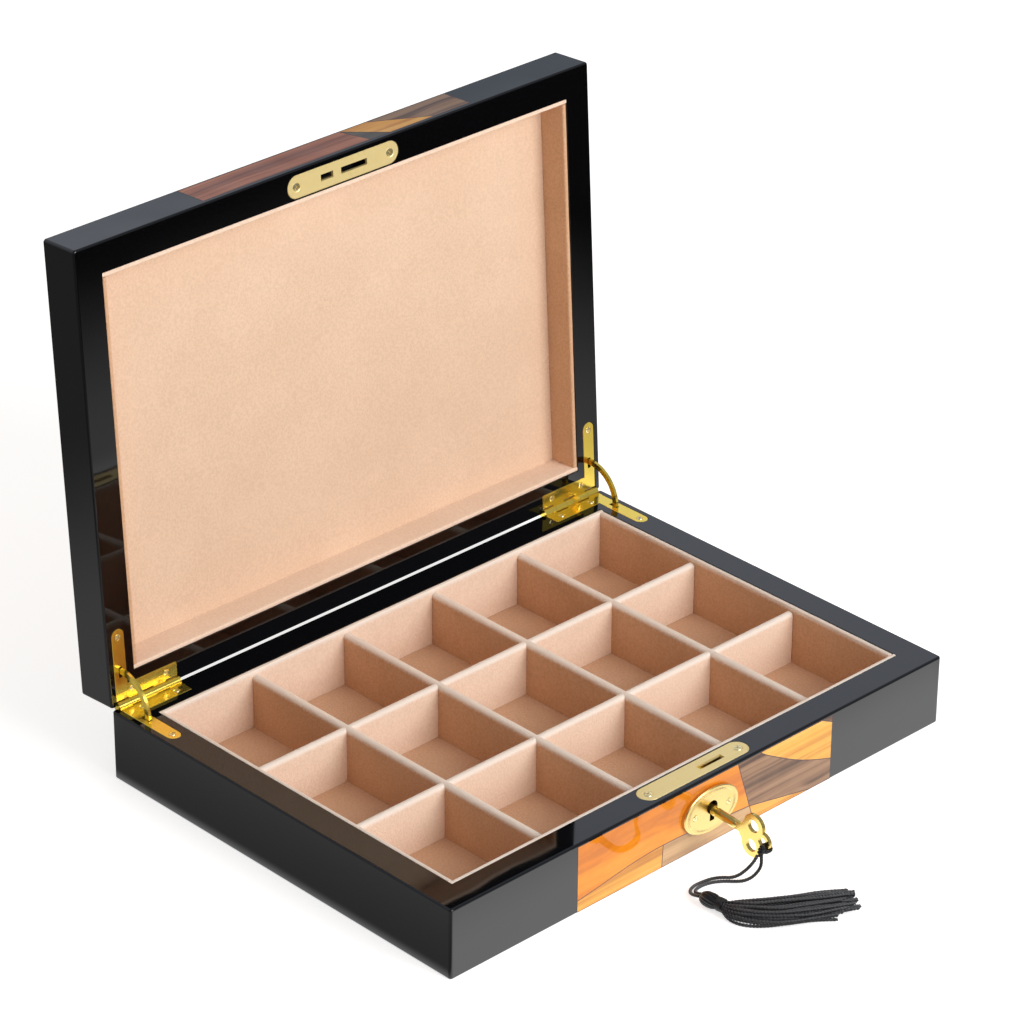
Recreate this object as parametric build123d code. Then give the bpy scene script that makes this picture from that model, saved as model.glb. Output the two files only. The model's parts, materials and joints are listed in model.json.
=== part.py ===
"""Cufflink display box: a lacquered case with a velvet tray, a leaning lid on two quadrant hinges,
a box lock with a swinging hook, and a key with a tassel.

Millimetres. Origin at the centre of the case's underside, +X to the right as the front is faced,
+Y to the back, +Z up. The lid is drawn closed and then swung open to its stop."""
from build123d import *
import math
import os

os.makedirs("parts", exist_ok=True)

# ---- case and lid
box_width = 300.0
box_depth = 216.2
base_height = 34.2
lid_height = 20.7
rim_gap = 0.4                 # daylight between the two rims when the lid is shut
side_wall = 14.1
end_wall = 14.2               # front and back walls
corner_radius = 1.5
edge_radius = 1.0
open_angle = 93.4             # where the stays stop the lid

panel_thickness = 3.4
felt_thickness = 0.6
rebate_width = 6.0            # how far the bottom panel reaches under the walls
felt_margin = 0.5
top_panel_thickness = 4.2

# ---- velvet fittings
lining_thickness = 2.4
floor_pad_thickness = 1.6
divider_thickness = 4.2
divider_drop = 2.2            # divider tops below the rim
lining_round = 0.9
divider_round = 1.9
column_count = 5
row_count = 3
lap_clearance = 0.1
fit_gap = 0.1
lid_pad_thickness = 1.6
lid_lining_drop = 0.2

# ---- veneer inlay
veneer_thickness = 0.6
band_left = -77.5
band_right = 78.5
base_band_margin = 1.3        # black edge left above the inlay
base_band_foot = 0.5
lid_band_rim_margin = 2.2
lid_band_top_margin = 1.3
lid_top_band_margin = 1.3

# ---- hinges
leaf_thickness = 1.4
leaf_chamfer = 0.3
hinge_length = 34.8
hinge_outer_inset = 3.1       # leaf's outer edge from the side face
leaf_width = 9.7
leaf_corner = 1.2             # rounding of the bar's free corner
arm_width = 7.1
arm_reach = 37.3              # from the back face to the arm's tip
arm_screw_setback = 4.2
leaf_screw_insets = (6.2, 25.4)
leaf_screw_offset = 6.0
barrel_radius = 2.3
knuckle_count = 5
knuckle_gap = 0.12
barrel_clearance = 0.5
hinge_pin_radius = 0.8
pin_running_clearance = 0.05

# ---- stays
stay_radius = 16.9
stay_width = 1.4              # along the hinge axis
stay_thickness = 2.6          # across its curve
stay_head_radius = 0.9
stay_head_length = 4.0
stay_stop_clearance = 0.03    # between a stop head and the leaf it rests under
stay_slot_length = 5.2
stay_slot_shift = 0.8         # the slot's middle is nearer the hinge than the stay's
stay_slot_clearance = 0.25
pocket_side_clearance = 0.3
pocket_end_clearance = 0.8

# ---- screws
screw_head_radius = 1.7
screw_shank_radius = 0.8
screw_length = 6.5
screw_head_height = 0.9
plate_screw_head_radius = 2.4

# ---- lock and keep plates
plate_width = 11.0
plate_thickness = 1.3
plate_chamfer = 0.35
lock_plate_length = 65.0
keep_plate_length = 65.0
lock_setback = 8.2            # plates' centre line behind the front face
lock_plate_centre = -0.6
lock_screw_spacing = 54.8
keep_screw_spacing = 54.6
lock_slot_left = 2.5
lock_slot_length = 14.8
slot_width = 3.0
keep_slot_left = -1.4
keep_slot_length = 15.2
keep_window_left = -13.2
keep_window_length = 7.2

# ---- lock case, hook and keyhole
key_x = 1.3
key_drop = 14.6               # key axis below the rim, at the lock's centre line
key_droop = 4.6               # degrees the loose key leans down
case_left = -12.0
case_right = 22.0
case_depth = 24.2             # from the rim to the case's bottom
case_thickness = 7.8
case_wall = 0.9
hook_pivot_x = 14.0
hook_pivot_drop = 8.2
hook_pivot_radius = 1.2
hook_pivot_clearance = 0.05
hook_boss_radius = 3.2
hook_thickness = 2.4
hook_inner = 10.4
hook_outer = 12.6
hook_tip_angle = 141.5
hook_root_angle = 196.0
hook_arm_width = 3.2
hook_tail_angle = 240.0
hook_tail_length = 8.5
hook_tail_radius = 1.2
hook_swing = 62.0
hook_pocket_clearance = 0.6
keyhole_radius = 3.2
keyhole_rise = 0.1            # round part of the keyhole above the key's axis
keyhole_slot_width = 2.8
keyhole_length = 6.7          # from the round part's centre to the slot's end
wall_keyhole_margin = 1.0

# ---- escutcheon
escutcheon_width = 33.0
escutcheon_height = 21.6
escutcheon_thickness = 2.0
escutcheon_chamfer = 0.4
escutcheon_x = 1.1
escutcheon_drop = 15.8        # its centre below the rim
escutcheon_screw_spacing = 20.6
escutcheon_screw_head = 1.6
escutcheon_screw_length = 5.6

# ---- key; distances run along its axis from the lock's centre line
shank_radius = 2.05
shank_tip = -2.6
bit_half_length = 1.9
bit_reach = 5.0
bit_thickness = 1.8
collar_start = 11.3
collar_length = 1.1
collar_radius = 2.4
groove_radius = 1.7
groove_length = 1.0
bow_thickness = 1.9
bow_neck = 24.0
bow_notch = 26.8              # where the bow starts to flare from the shank
bow_shoulder = 31.2
bow_shoulder_half = 7.6
bow_lobe_station = 34.7
bow_lobe_offset = 4.9
bow_lobe_radius = 5.7
bow_lobe_hole = 3.0
bow_end_station = 40.5
bow_end_radius = 4.2
bow_end_hole = 2.2
bow_chamfer = 0.25
key_travel = 30.0

# ---- tassel; points are x, distance in front of the case, and height, for a key this high
tassel_drawn_for = 19.6
cord_diameter = 1.6
cord_sides = 8
cord_lift = 0.1               # under the cord where it lies on the table
hitch_cord_radius = 0.7
hitch_lean = 45.0             # where round the bow's end ring the cord sits; 0 is straight down
hitch_clearance = 0.05
hitch_corner = 0.5
knot_radius = 1.6
knot_lean = 37.0              # the knot lies beside the bow, this far from straight down
knot_distance = 4.3           # from the key's axis
knot_station = 41.5
head_radius = 3.6
head_length = 11.0
neck_radius = 2.5
# the head's radius at shares of its length, from the cords to the tied neck
head_profile = [(0, 2.0), (0.17, 3.25), (0.4, head_radius), (0.68, 3.35), (1, neck_radius)]
cord_a_route = [
    (-2.9, 32.9, 11.6), (-4.7, 33.2, 10.2), (-6.8, 32.8, 8.2), (-9.4, 31.7, 5.9),
    (-11.8, 30.3, 4.1), (-14.0, 28.1, 3.0), (-15.9, 25.0, 2.6), (-18.5, 21.7, 1.6),
    (-22.7, 20.0, 0.9), (-27.4, 19.6, 0.9), (-31.7, 21.1, 1.0), (-34.4, 25.0, 2.0),
    (-34.8, 29.9, 3.9)]
cord_b_route = [
    (-2.2, 34.5, 11.5), (-3.0, 35.4, 9.7), (-3.9, 35.8, 7.4), (-5.7, 35.3, 5.0), (-8.0, 34.1, 2.9),
    (-10.4, 32.1, 1.6), (-12.5, 29.3, 1.0), (-15.3, 26.1, 0.9), (-19.2, 23.3, 0.9),
    (-23.8, 21.9, 0.9), (-28.0, 21.9, 0.9), (-31.0, 23.5, 1.3), (-32.2, 26.4, 2.4),
    (-32.6, 30.1, 3.9)]
head_start = (-33.4, 30.1, 4.0)
head_end = (-33.6, 41.1, 4.0)
# skirt stations beyond the neck: centre x, distance in front, half width, half height
skirt_stations = [
    (-31.4, 46.4, 6.2, 3.3), (-27.2, 53.4, 8.6, 3.6), (-19.6, 60.1, 10.2, 3.6),
    (-9.4, 65.6, 10.6, 3.4), (2.4, 71.1, 10.4, 3.0), (12.2, 74.9, 9.4, 2.3)]
skirt_lift = 0.3
skirt_sides = 12

# ---- derived places
half_width = box_width / 2
half_depth = box_depth / 2
lid_rim = base_height + rim_gap
lid_top = lid_rim + lid_height
hinge_y = half_depth
hinge_z = base_height + rim_gap / 2
inner_x = half_width - side_wall
inner_y = half_depth - end_wall
lock_y = lock_setback - half_depth
leaf_outer = half_width - hinge_outer_inset
leaf_inner = leaf_outer - hinge_length
arm_centre = leaf_outer - arm_width / 2
pocket_half_width = stay_head_length / 2 + pocket_side_clearance
stop_depth = rim_gap / 2 + leaf_thickness + stay_stop_clearance + stay_head_radius
stay_head_angle = math.radians(open_angle / 2) + math.asin(stop_depth / stay_radius)
stay_end_angle = stay_head_angle + stay_head_radius / stay_radius
tray_floor = felt_thickness + panel_thickness + floor_pad_thickness
divider_top = base_height - divider_drop
key_height = base_height - key_drop
keyhole_z = key_height + keyhole_rise
keyhole_bottom = keyhole_z - keyhole_length
case_bottom = base_height - case_depth
hook_pivot_height = base_height - hook_pivot_drop
escutcheon_z = base_height - escutcheon_drop
cord_low = cord_diameter / 2 + cord_lift


def block(x0, x1, y0, y1, z0, z1):
    """A box between two corners."""
    middle = Pos((x0 + x1) / 2, (y0 + y1) / 2, (z0 + z1) / 2)
    return middle * Box(x1 - x0, y1 - y0, z1 - z0)


def save(name, *solids):
    """Write one sub-part, whose solids stay separate."""
    shape = solids[0] if len(solids) == 1 else Compound(children=list(solids))
    export_step(shape, f"parts/{name}.step")


def swing_open(shape):
    """Turn a piece of the closed lid to its open rest place."""
    return shape.rotate(Axis((0, hinge_y, hinge_z), (1, 0, 0)), -open_angle)


def swing_half(shape):
    """Turn a stay, which follows the lid at half its angle."""
    return shape.rotate(Axis((0, hinge_y, hinge_z), (1, 0, 0)), -open_angle / 2)


def mirror_left(shape):
    return shape.mirror(Plane.YZ)


def front_face_sketch(sketch, depth, face_y=-half_depth):
    """Extrude a sketch drawn in x and z backwards from a plane parallel to the front."""
    plane = Plane(origin=(0, face_y, 0), x_dir=(1, 0, 0), z_dir=(0, -1, 0))
    return extrude(plane * sketch, amount=-depth)


# ---- screws -------------------------------------------------------------------------------
def countersunk_screw(head_radius, length=screw_length):
    """A flat-headed screw standing below z = 0, which is also the shape of the hole it fills."""
    profile = Polygon(
        (0, 0), (head_radius, 0), (screw_shank_radius, -screw_head_height),
        (screw_shank_radius, -length), (0, -length), align=None)
    return revolve(Plane.XZ * profile, Axis.Z)


def upwards(place, shape):
    """Set a screw or its hole into the base rim."""
    return Pos(*place, base_height) * shape


def downwards(place, shape):
    """Set a screw or its hole into the closed lid's rim."""
    return Pos(*place, lid_rim) * shape.rotate(Axis.X, 180)


hinge_screw_places = [
    (leaf_inner + leaf_screw_insets[0], half_depth - leaf_screw_offset),
    (leaf_inner + leaf_screw_insets[1], half_depth - leaf_screw_offset),
    (arm_centre, half_depth - arm_reach + arm_screw_setback)]
hinge_screw_places += [(-x, y) for x, y in hinge_screw_places]
lock_screw_places = [
    (lock_plate_centre + side * lock_screw_spacing / 2, lock_y) for side in (-1, 1)]
keep_screw_places = [(side * keep_screw_spacing / 2, lock_y) for side in (-1, 1)]


# ---- hinges -------------------------------------------------------------------------------
def leaf_outline():
    """The right-hand leaf seen from above: a bar at the back and an arm along the side."""
    bar = Pos((leaf_inner + leaf_outer) / 2, half_depth - leaf_width / 2) * Rectangle(
        hinge_length, leaf_width)
    straight = arm_reach - arm_width / 2
    arm = Pos(arm_centre, half_depth - straight / 2) * Rectangle(arm_width, straight)
    tip = Pos(arm_centre, half_depth - straight) * Circle(arm_width / 2)
    free_corner = bar.vertices().group_by(Axis.X)[0].sort_by(Axis.Y)[0]
    return fillet(free_corner, leaf_corner) + arm + tip


def knuckle_spans(first):
    """X spans of every second knuckle, counted from the inner end."""
    pitch = hinge_length / knuckle_count
    spans = []
    for index in range(first, knuckle_count, 2):
        start = leaf_inner + index * pitch
        spans.append((start + knuckle_gap / 2, start + pitch - knuckle_gap / 2))
    return spans


def barrel_rod(radius, start, end):
    """A cylinder on the hinge axis."""
    plane = Plane(origin=(start, hinge_y, hinge_z), z_dir=(1, 0, 0))
    return extrude(plane * Circle(radius), amount=end - start)


def hinge_leaf(rim_z, away, first_knuckle, bore):
    """One leaf of the right-hand hinge; away is -1 below the rim and +1 above it."""
    plane = Pos(0, 0, rim_z) * leaf_outline()
    leaf = extrude(plane, amount=away * leaf_thickness, dir=(0, 0, 1))
    face = leaf.faces().sort_by(Axis.Z)[-1 if away < 0 else 0]
    shown = [edge for edge in face.edges() if edge.center().Y < half_depth - 0.5]
    leaf = chamfer(shown, leaf_chamfer)
    own = knuckle_spans(first_knuckle)
    leaf -= barrel_rod(barrel_radius + barrel_clearance, leaf_inner - 1, leaf_outer + 1)
    pitch = hinge_length / knuckle_count
    for start, end in own:
        low, high = sorted((rim_z, rim_z + away * leaf_thickness))
        leaf += block(start, end, half_depth - barrel_radius * 2, half_depth, low, high)
        leaf += barrel_rod(barrel_radius, start, end)
    leaf -= barrel_rod(bore, leaf_inner - pitch, leaf_outer + pitch)
    slot_y = half_depth - stay_radius + stay_slot_shift
    leaf -= block(
        arm_centre - stay_width / 2 - stay_slot_clearance,
        arm_centre + stay_width / 2 + stay_slot_clearance,
        slot_y - stay_slot_length / 2, slot_y + stay_slot_length / 2,
        min(rim_z, rim_z + away * leaf_thickness) - 1,
        max(rim_z, rim_z + away * leaf_thickness) + 1)
    return leaf


def rim_cut(rim_z, away):
    """Everything that one rim loses to the two hinges: mortises, barrel notch, stay pockets."""
    mortise = extrude(Pos(0, 0, rim_z) * leaf_outline(), amount=away * leaf_thickness, dir=(0, 0, 1))
    notch = barrel_rod(
        barrel_radius + barrel_clearance, leaf_inner - barrel_clearance,
        leaf_outer + barrel_clearance)
    reach = stay_radius + stay_thickness / 2 + pocket_end_clearance
    near = (stay_radius - stay_thickness / 2) * math.cos(stay_end_angle)
    deep = (stay_radius + stay_thickness / 2) * math.sin(stay_end_angle)
    low, high = sorted((rim_z, rim_z + away * (deep + pocket_end_clearance)))
    pocket = block(
        arm_centre - pocket_half_width, arm_centre + pocket_half_width,
        half_depth - reach, half_depth - near + pocket_end_clearance, low, high)
    right = mortise + notch + pocket
    return [right, mirror_left(right)]


def stay():
    """A curved strip on the hinge axis, with a cross pin through each end."""
    left = arm_centre - stay_width / 2
    plane = Plane(origin=(left, hinge_y, hinge_z), x_dir=(0, -1, 0), z_dir=(1, 0, 0))
    outer = stay_radius + stay_thickness / 2
    inner = stay_radius - stay_thickness / 2
    wedge_reach = outer * 2
    wedge_x = wedge_reach * math.cos(stay_end_angle)
    wedge_z = wedge_reach * math.sin(stay_end_angle)
    wedge = Polygon(
        (0, 0), (wedge_x, wedge_z), (wedge_reach * 2, 0), (wedge_x, -wedge_z), align=None)
    strip = extrude(plane * ((Circle(outer) - Circle(inner)) & wedge), amount=stay_width)
    for side in (-1, 1):
        centre = (
            arm_centre - stay_head_length / 2,
            hinge_y - stay_radius * math.cos(stay_head_angle),
            hinge_z + side * stay_radius * math.sin(stay_head_angle))
        pin = extrude(Plane(origin=centre, z_dir=(1, 0, 0)) * Circle(stay_head_radius),
                      amount=stay_head_length)
        strip += pin
    return strip


# ---- lock ---------------------------------------------------------------------------------
def stadium_plate(length, centre_x, rim_z, away, slots, screw_places, place_hole):
    """A round-ended brass plate let into a rim."""
    outline = Pos(centre_x, lock_y, rim_z) * SlotOverall(length, plate_width)
    plate = extrude(outline, amount=away * plate_thickness, dir=(0, 0, 1))
    blank = plate
    face = plate.faces().sort_by(Axis.Z)[-1 if away < 0 else 0]
    plate = chamfer(face.edges(), plate_chamfer)
    low, high = rim_z - plate_thickness - 1, rim_z + plate_thickness + 1
    for left, span in slots:
        plate -= block(
            left, left + span, lock_y - slot_width / 2, lock_y + slot_width / 2, low, high)
    for place in screw_places:
        plate -= place_hole(place, countersunk_screw(plate_screw_head_radius))
    return plate, blank


def keyhole_shape(grow):
    """The keyhole as a sketch in x and z: a round hole over a slot."""
    round_part = Pos(key_x, keyhole_z) * Circle(keyhole_radius + grow)
    slot_bottom = keyhole_bottom - grow
    slot = Pos(key_x, (slot_bottom + keyhole_z) / 2) * Rectangle(
        keyhole_slot_width + 2 * grow, keyhole_z - slot_bottom)
    return round_part + slot


def lock_case_blank():
    half = case_thickness / 2
    return block(
        case_left, case_right, lock_y - half, lock_y + half,
        case_bottom, base_height - plate_thickness)


def lock_case():
    """A sheet case, open at the top under the plate, with the hook's pivot in its back."""
    half = case_thickness / 2 - case_wall
    case = lock_case_blank() - block(
        case_left + case_wall, case_right - case_wall, lock_y - half, lock_y + half,
        case_bottom + case_wall, base_height)
    case -= front_face_sketch(keyhole_shape(0), case_wall * 2, lock_y - case_thickness / 2 - 0.5)
    plane = Plane(origin=(hook_pivot_x, lock_y + half, hook_pivot_height), z_dir=(0, -1, 0))
    case += extrude(plane * Circle(hook_pivot_radius), amount=2 * half)
    return case


def hook_sketch():
    """The hook about its pivot: an arc-shaped beak on a radial arm, a boss and a tail."""
    tip = math.radians(hook_tip_angle)
    root = math.radians(hook_root_angle)
    far = hook_outer * 2
    middle = (tip + root) / 2
    wedge = Polygon(
        (0, 0), (far * math.cos(tip), far * math.sin(tip)),
        (far * 2 * math.cos(middle), far * 2 * math.sin(middle)),
        (far * math.cos(root), far * math.sin(root)), align=None)
    beak = (Circle(hook_outer) - Circle(hook_inner)) & wedge
    arm_angle = hook_root_angle - math.degrees(hook_arm_width / 2 / hook_outer)
    arm = Rot(0, 0, arm_angle) * (Pos(hook_outer / 2 - 0.2, 0) * Rectangle(hook_outer - 0.4, hook_arm_width))
    tail = Rot(0, 0, hook_tail_angle) * (
        Pos((hook_tail_length - hook_tail_radius) / 2, 0)
        * Rectangle(hook_tail_length - hook_tail_radius, hook_tail_radius * 2)
        + Pos(hook_tail_length - hook_tail_radius, 0) * Circle(hook_tail_radius))
    hole = Circle(hook_pivot_radius + hook_pivot_clearance)
    return beak + (arm & Circle(hook_outer)) + Circle(hook_boss_radius) + tail - hole


def lock_hook():
    plane = Plane(
        origin=(hook_pivot_x, lock_y + hook_thickness / 2, hook_pivot_height),
        x_dir=(1, 0, 0), z_dir=(0, -1, 0))
    return extrude(plane * hook_sketch(), amount=hook_thickness)


def keep_pocket():
    """Room in the lid's front wall for the raised beak."""
    reach = hook_outer + hook_pocket_clearance
    tip = math.radians(hook_tip_angle - hook_swing)
    return block(
        hook_pivot_x - reach, hook_pivot_x + reach * math.cos(tip) + hook_pocket_clearance,
        lock_y - slot_width / 2 - hook_pocket_clearance,
        lock_y + slot_width / 2 + hook_pocket_clearance,
        lid_rim, hook_pivot_height + reach + hook_pocket_clearance)


def escutcheon():
    """An oval plate with a bevelled edge, the keyhole, and two countersunk screw holes."""
    oval = Pos(escutcheon_x, escutcheon_z) * Ellipse(escutcheon_width / 2, escutcheon_height / 2)
    plate = front_face_sketch(oval, -escutcheon_thickness)
    plate = chamfer(plate.faces().sort_by(Axis.Y)[0].edges(), escutcheon_chamfer)
    plate -= front_face_sketch(keyhole_shape(0), -escutcheon_thickness * 2)
    for place in escutcheon_screw_places:
        plate -= escutcheon_screw(place)
    return plate


escutcheon_screw_places = [
    (escutcheon_x + side * escutcheon_screw_spacing / 2, escutcheon_z) for side in (-1, 1)]


def escutcheon_screw(place):
    """A countersunk screw through the escutcheon into the front wall."""
    face = Plane(
        origin=(place[0], -half_depth - escutcheon_thickness, place[1]),
        x_dir=(1, 0, 0), z_dir=(0, -1, 0))
    return face * countersunk_screw(escutcheon_screw_head, escutcheon_screw_length)


# ---- key and tassel ------------------------------------------------------------------------
# the key's own frame: x to the left, y down, z out along its axis
key_plane = Plane(
    origin=(key_x, lock_y, key_height), x_dir=(-1, 0, 0),
    z_dir=(0, -math.cos(math.radians(key_droop)), -math.sin(math.radians(key_droop))))


def key():
    """Shank, bit and trefoil bow, drawn along local z and set on the key's axis."""
    groove_start = collar_start + collar_length
    groove_end = groove_start + groove_length
    profile = Polygon(
        (0, shank_tip), (shank_radius - 0.4, shank_tip), (shank_radius, shank_tip + 0.4),
        (shank_radius, collar_start), (collar_radius, collar_start + 0.2),
        (collar_radius, groove_start), (groove_radius, groove_start),
        (groove_radius, groove_end), (shank_radius, groove_end),
        (shank_radius, bow_neck), (0, bow_neck + 2.5), align=None)
    shank = revolve(Plane.XZ * profile, Axis.Z)
    bit = block(
        -bit_thickness / 2, bit_thickness / 2, 0, bit_reach, -bit_half_length, bit_half_length)
    bit -= block(-bit_thickness, bit_thickness, bit_reach - 1.2, bit_reach + 1, -0.5, 0.5)
    side = Plane(origin=(-bow_thickness / 2, 0, 0), x_dir=(0, 0, 1), z_dir=(1, 0, 0))
    outline = Polygon(
        (bow_neck - 1.0, -shank_radius), (bow_notch, -shank_radius),
        (bow_shoulder, -bow_shoulder_half), (bow_end_station, -bow_lobe_offset * 0.5),
        (bow_end_station, bow_lobe_offset * 0.5), (bow_shoulder, bow_shoulder_half),
        (bow_notch, shank_radius), (bow_neck - 1.0, shank_radius), align=None)
    for offset in (-bow_lobe_offset, bow_lobe_offset):
        outline += Pos(bow_lobe_station, offset) * Circle(bow_lobe_radius)
    outline += Pos(bow_end_station, 0) * Circle(bow_end_radius)
    for offset in (-bow_lobe_offset, bow_lobe_offset):
        outline -= Pos(bow_lobe_station, offset) * Circle(bow_lobe_hole)
    outline -= Pos(bow_end_station, 0) * Circle(bow_end_hole)
    bow = extrude(side * outline, amount=bow_thickness)
    flats = bow.faces().filter_by(Axis.X)
    bow = chamfer([edge for face in flats for edge in face.outer_wire().edges()], bow_chamfer)
    return key_plane * (shank + bit + bow)


def key_hitch():
    """Two turns of cord round the ring of the bow's end hole, and the knot beside it."""
    stand_off = hitch_cord_radius + hitch_clearance
    shift = hitch_cord_radius + hitch_clearance / 2
    inner = math.sqrt((bow_end_hole - stand_off) ** 2 - shift ** 2)
    outer = bow_end_radius + stand_off
    half_side = bow_thickness / 2 + stand_off
    lean = math.radians(hitch_lean)
    outwards = Vector(0, math.cos(lean), math.sin(lean))
    across = Vector(0, -math.sin(lean), math.cos(lean))
    ring_centre = Vector(0, 0, bow_end_station)
    side = math.radians(knot_lean)
    knot_centre = (
        knot_distance * math.sin(side), knot_distance * math.cos(side), knot_station)
    hitch = Pos(*knot_centre) * Sphere(knot_radius)
    half_length = (outer - inner) / 2
    corner = hitch_corner
    for offset_across in (-shift, shift):
        middle = ring_centre + outwards * ((inner + outer) / 2) + across * offset_across
        frame = Plane(origin=middle, x_dir=(1, 0, 0), z_dir=across)
        path = frame * Polyline(
            (0, -half_length), (half_side - corner, -half_length), (half_side, corner - half_length),
            (half_side, half_length - corner), (half_side - corner, half_length),
            (corner - half_side, half_length), (-half_side, half_length - corner),
            (-half_side, corner - half_length), (corner - half_side, -half_length), close=True)
        section = Plane(origin=path @ 0, z_dir=path % 0) * RegularPolygon(hitch_cord_radius, cord_sides)
        hitch += sweep(section, path=path, transition=Transition.RIGHT)
    return key_plane * hitch


def laid(point):
    """A tassel point in the case's frame; what hangs follows the key's height."""
    x, reach, height = point
    hang = (height - cord_low) * key_height / tassel_drawn_for
    return Vector(x, -half_depth - reach, cord_low + hang)


def cord_tube(name, route):
    """An eight-sided cord along straight runs and tangent arcs, each as large as its runs allow."""
    points = [laid(point) for point in route]
    radii = []
    for before, here, after in zip(points, points[1:], points[2:]):
        turn = math.radians((here - before).get_angle(after - here))
        run = min((here - before).length, (after - here).length)
        radii.append(0.45 * run / math.tan(turn / 2))
    path = FilletPolyline(*points, radius=radii)
    section = Plane(origin=path @ 0, z_dir=path % 0) * RegularPolygon(cord_diameter / 2, cord_sides)
    tube = sweep(section, path=path)
    section_volume = section.area * path.length
    print(name, "length %.1f" % path.length, "radii", ["%.1f" % radius for radius in radii],
          "volume ratio %.4f" % (tube.volume / section_volume))
    return tube


def facetted_oval(half_w, half_h):
    """An oval of straight sides, one for each bundle of cords that shows."""
    corners = []
    for side in range(skirt_sides):
        angle = 2 * math.pi * (side + 0.5) / skirt_sides
        corners.append((half_w * math.cos(angle), half_h * math.sin(angle)))
    return Polygon(*corners, align=None)


def across_head(distance):
    """The plane across the head's axis at a distance from its start, with its y upwards."""
    along = (laid(head_end) - laid(head_start)).normalized()
    return Plane(
        origin=laid(head_start) + along * distance, x_dir=along.cross(Vector(0, 0, 1)),
        z_dir=along)


def tassel_head():
    """A bound, barrel-shaped head that narrows to the tied neck."""
    sections = [
        across_head(head_length * share) * facetted_oval(radius, radius)
        for share, radius in head_profile]
    return loft(sections, ruled=True)


def tassel_skirt():
    """The gathered skirt lying on its side, drawn from the tied neck through oval sections."""
    sections = [across_head(head_length) * facetted_oval(neck_radius, neck_radius)]
    for index, (x, reach, half_w, half_h) in enumerate(skirt_stations):
        before = skirt_stations[max(index - 1, 0)]
        after = skirt_stations[min(index + 1, len(skirt_stations) - 1)]
        heading = Vector(after[0] - before[0], before[1] - after[1], 0)
        plane = Plane(
            origin=(x, -half_depth - reach, skirt_lift + half_h),
            x_dir=heading.cross(Vector(0, 0, 1)), z_dir=heading)
        sections.append(plane * facetted_oval(half_w, half_h))
    return loft(sections, ruled=True)


# ---- case walls ----------------------------------------------------------------------------
def mitre_wedges(z0, z1):
    """Four prisms that split a frame along the mitres of its corners."""
    beyond = 1.3
    outer = {}
    inner = {}
    for sx in (-1, 1):
        for sy in (-1, 1):
            inner[sx, sy] = Vector(sx * inner_x, sy * inner_y)
            corner = Vector(sx * half_width, sy * half_depth)
            outer[sx, sy] = inner[sx, sy] + (corner - inner[sx, sy]) * beyond
    sides = {
        "front": ((-1, -1), (1, -1)), "right": ((1, -1), (1, 1)),
        "back": ((1, 1), (-1, 1)), "left": ((-1, 1), (-1, -1))}
    wedges = {}
    for name, (first, second) in sides.items():
        corners = [outer[first], outer[second], inner[second], inner[first]]
        outline = Polygon(*[(corner.X, corner.Y) for corner in corners], align=None)
        wedges[name] = extrude(Pos(0, 0, z0) * outline, amount=z1 - z0)
    return wedges


def band_sketch(z0, z1):
    """The whole inlay band of one front, in x and z."""
    return Pos((band_left + band_right) / 2, (z0 + z1) / 2) * Rectangle(band_right - band_left, z1 - z0)


def outer_block(z0, z1, round_top, round_bottom):
    """A solid block with softened outer corners and edges."""
    body = block(-half_width, half_width, -half_depth, half_depth, z0, z1)
    body = fillet(body.edges().filter_by(Axis.Z), corner_radius)
    for wanted, index in ((round_top, -1), (round_bottom, 0)):
        if wanted:
            body = fillet(body.faces().sort_by(Axis.Z)[index].edges(), edge_radius)
    return body


def base_walls():
    ring = outer_block(0, base_height, True, True)
    ring -= block(-inner_x, inner_x, -inner_y, inner_y, -1, base_height + 1)
    ring -= block(
        -inner_x - rebate_width, inner_x + rebate_width, -inner_y - rebate_width,
        inner_y + rebate_width, -1, felt_thickness + panel_thickness)
    for cut in rim_cut(base_height, -1):
        ring -= cut
    ring -= lock_case_blank()
    ring -= lock_blank
    ring -= front_face_sketch(base_band, veneer_thickness)
    ring -= front_face_sketch(keyhole_shape(wall_keyhole_margin), lock_setback)
    for place in hinge_screw_places:
        ring -= upwards(place, countersunk_screw(screw_head_radius))
    for place in lock_screw_places:
        ring -= upwards(place, countersunk_screw(plate_screw_head_radius))
    for place in escutcheon_screw_places:
        ring -= escutcheon_screw(place)
    wedges = mitre_wedges(-1, base_height + 1)
    return {name: ring & wedge for name, wedge in wedges.items()}


def lid_walls():
    shell_top = lid_top - top_panel_thickness
    ring = outer_block(lid_rim, shell_top, False, True)
    ring -= block(-inner_x, inner_x, -inner_y, inner_y, lid_rim - 1, lid_top)
    for cut in rim_cut(lid_rim, 1):
        ring -= cut
    ring -= keep_blank
    ring -= keep_pocket()
    ring -= front_face_sketch(lid_band, veneer_thickness)
    for place in hinge_screw_places:
        ring -= downwards(place, countersunk_screw(screw_head_radius))
    for place in keep_screw_places:
        ring -= downwards(place, countersunk_screw(plate_screw_head_radius))
    wedges = mitre_wedges(lid_rim - 1, lid_top)
    return {name: ring & wedge for name, wedge in wedges.items()}


def lid_top_panel():
    panel = outer_block(lid_top - top_panel_thickness, lid_top, True, False)
    panel -= front_face_sketch(lid_band, veneer_thickness)
    panel -= Pos(0, 0, lid_top) * extrude(top_band, amount=-veneer_thickness)
    return panel


# ---- inlay ---------------------------------------------------------------------------------
def front_points(points):
    """Points of the base's pattern: x, and a share of the base's height."""
    return [(x, share * base_height) for x, share in points]


def top_points(points):
    """Points of the top's pattern: x, and a share of half the box's depth."""
    return [(x, share * half_depth) for x, share in points]


def region(points):
    """A piece of an inlay pattern, generous outside the band."""
    return make_face(Polyline(*points, close=True))


def curved_region(curve, points):
    """A piece whose first side is a curve through the given points."""
    return make_face([Spline(*curve), Polyline(curve[-1], *points, curve[0])])


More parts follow.
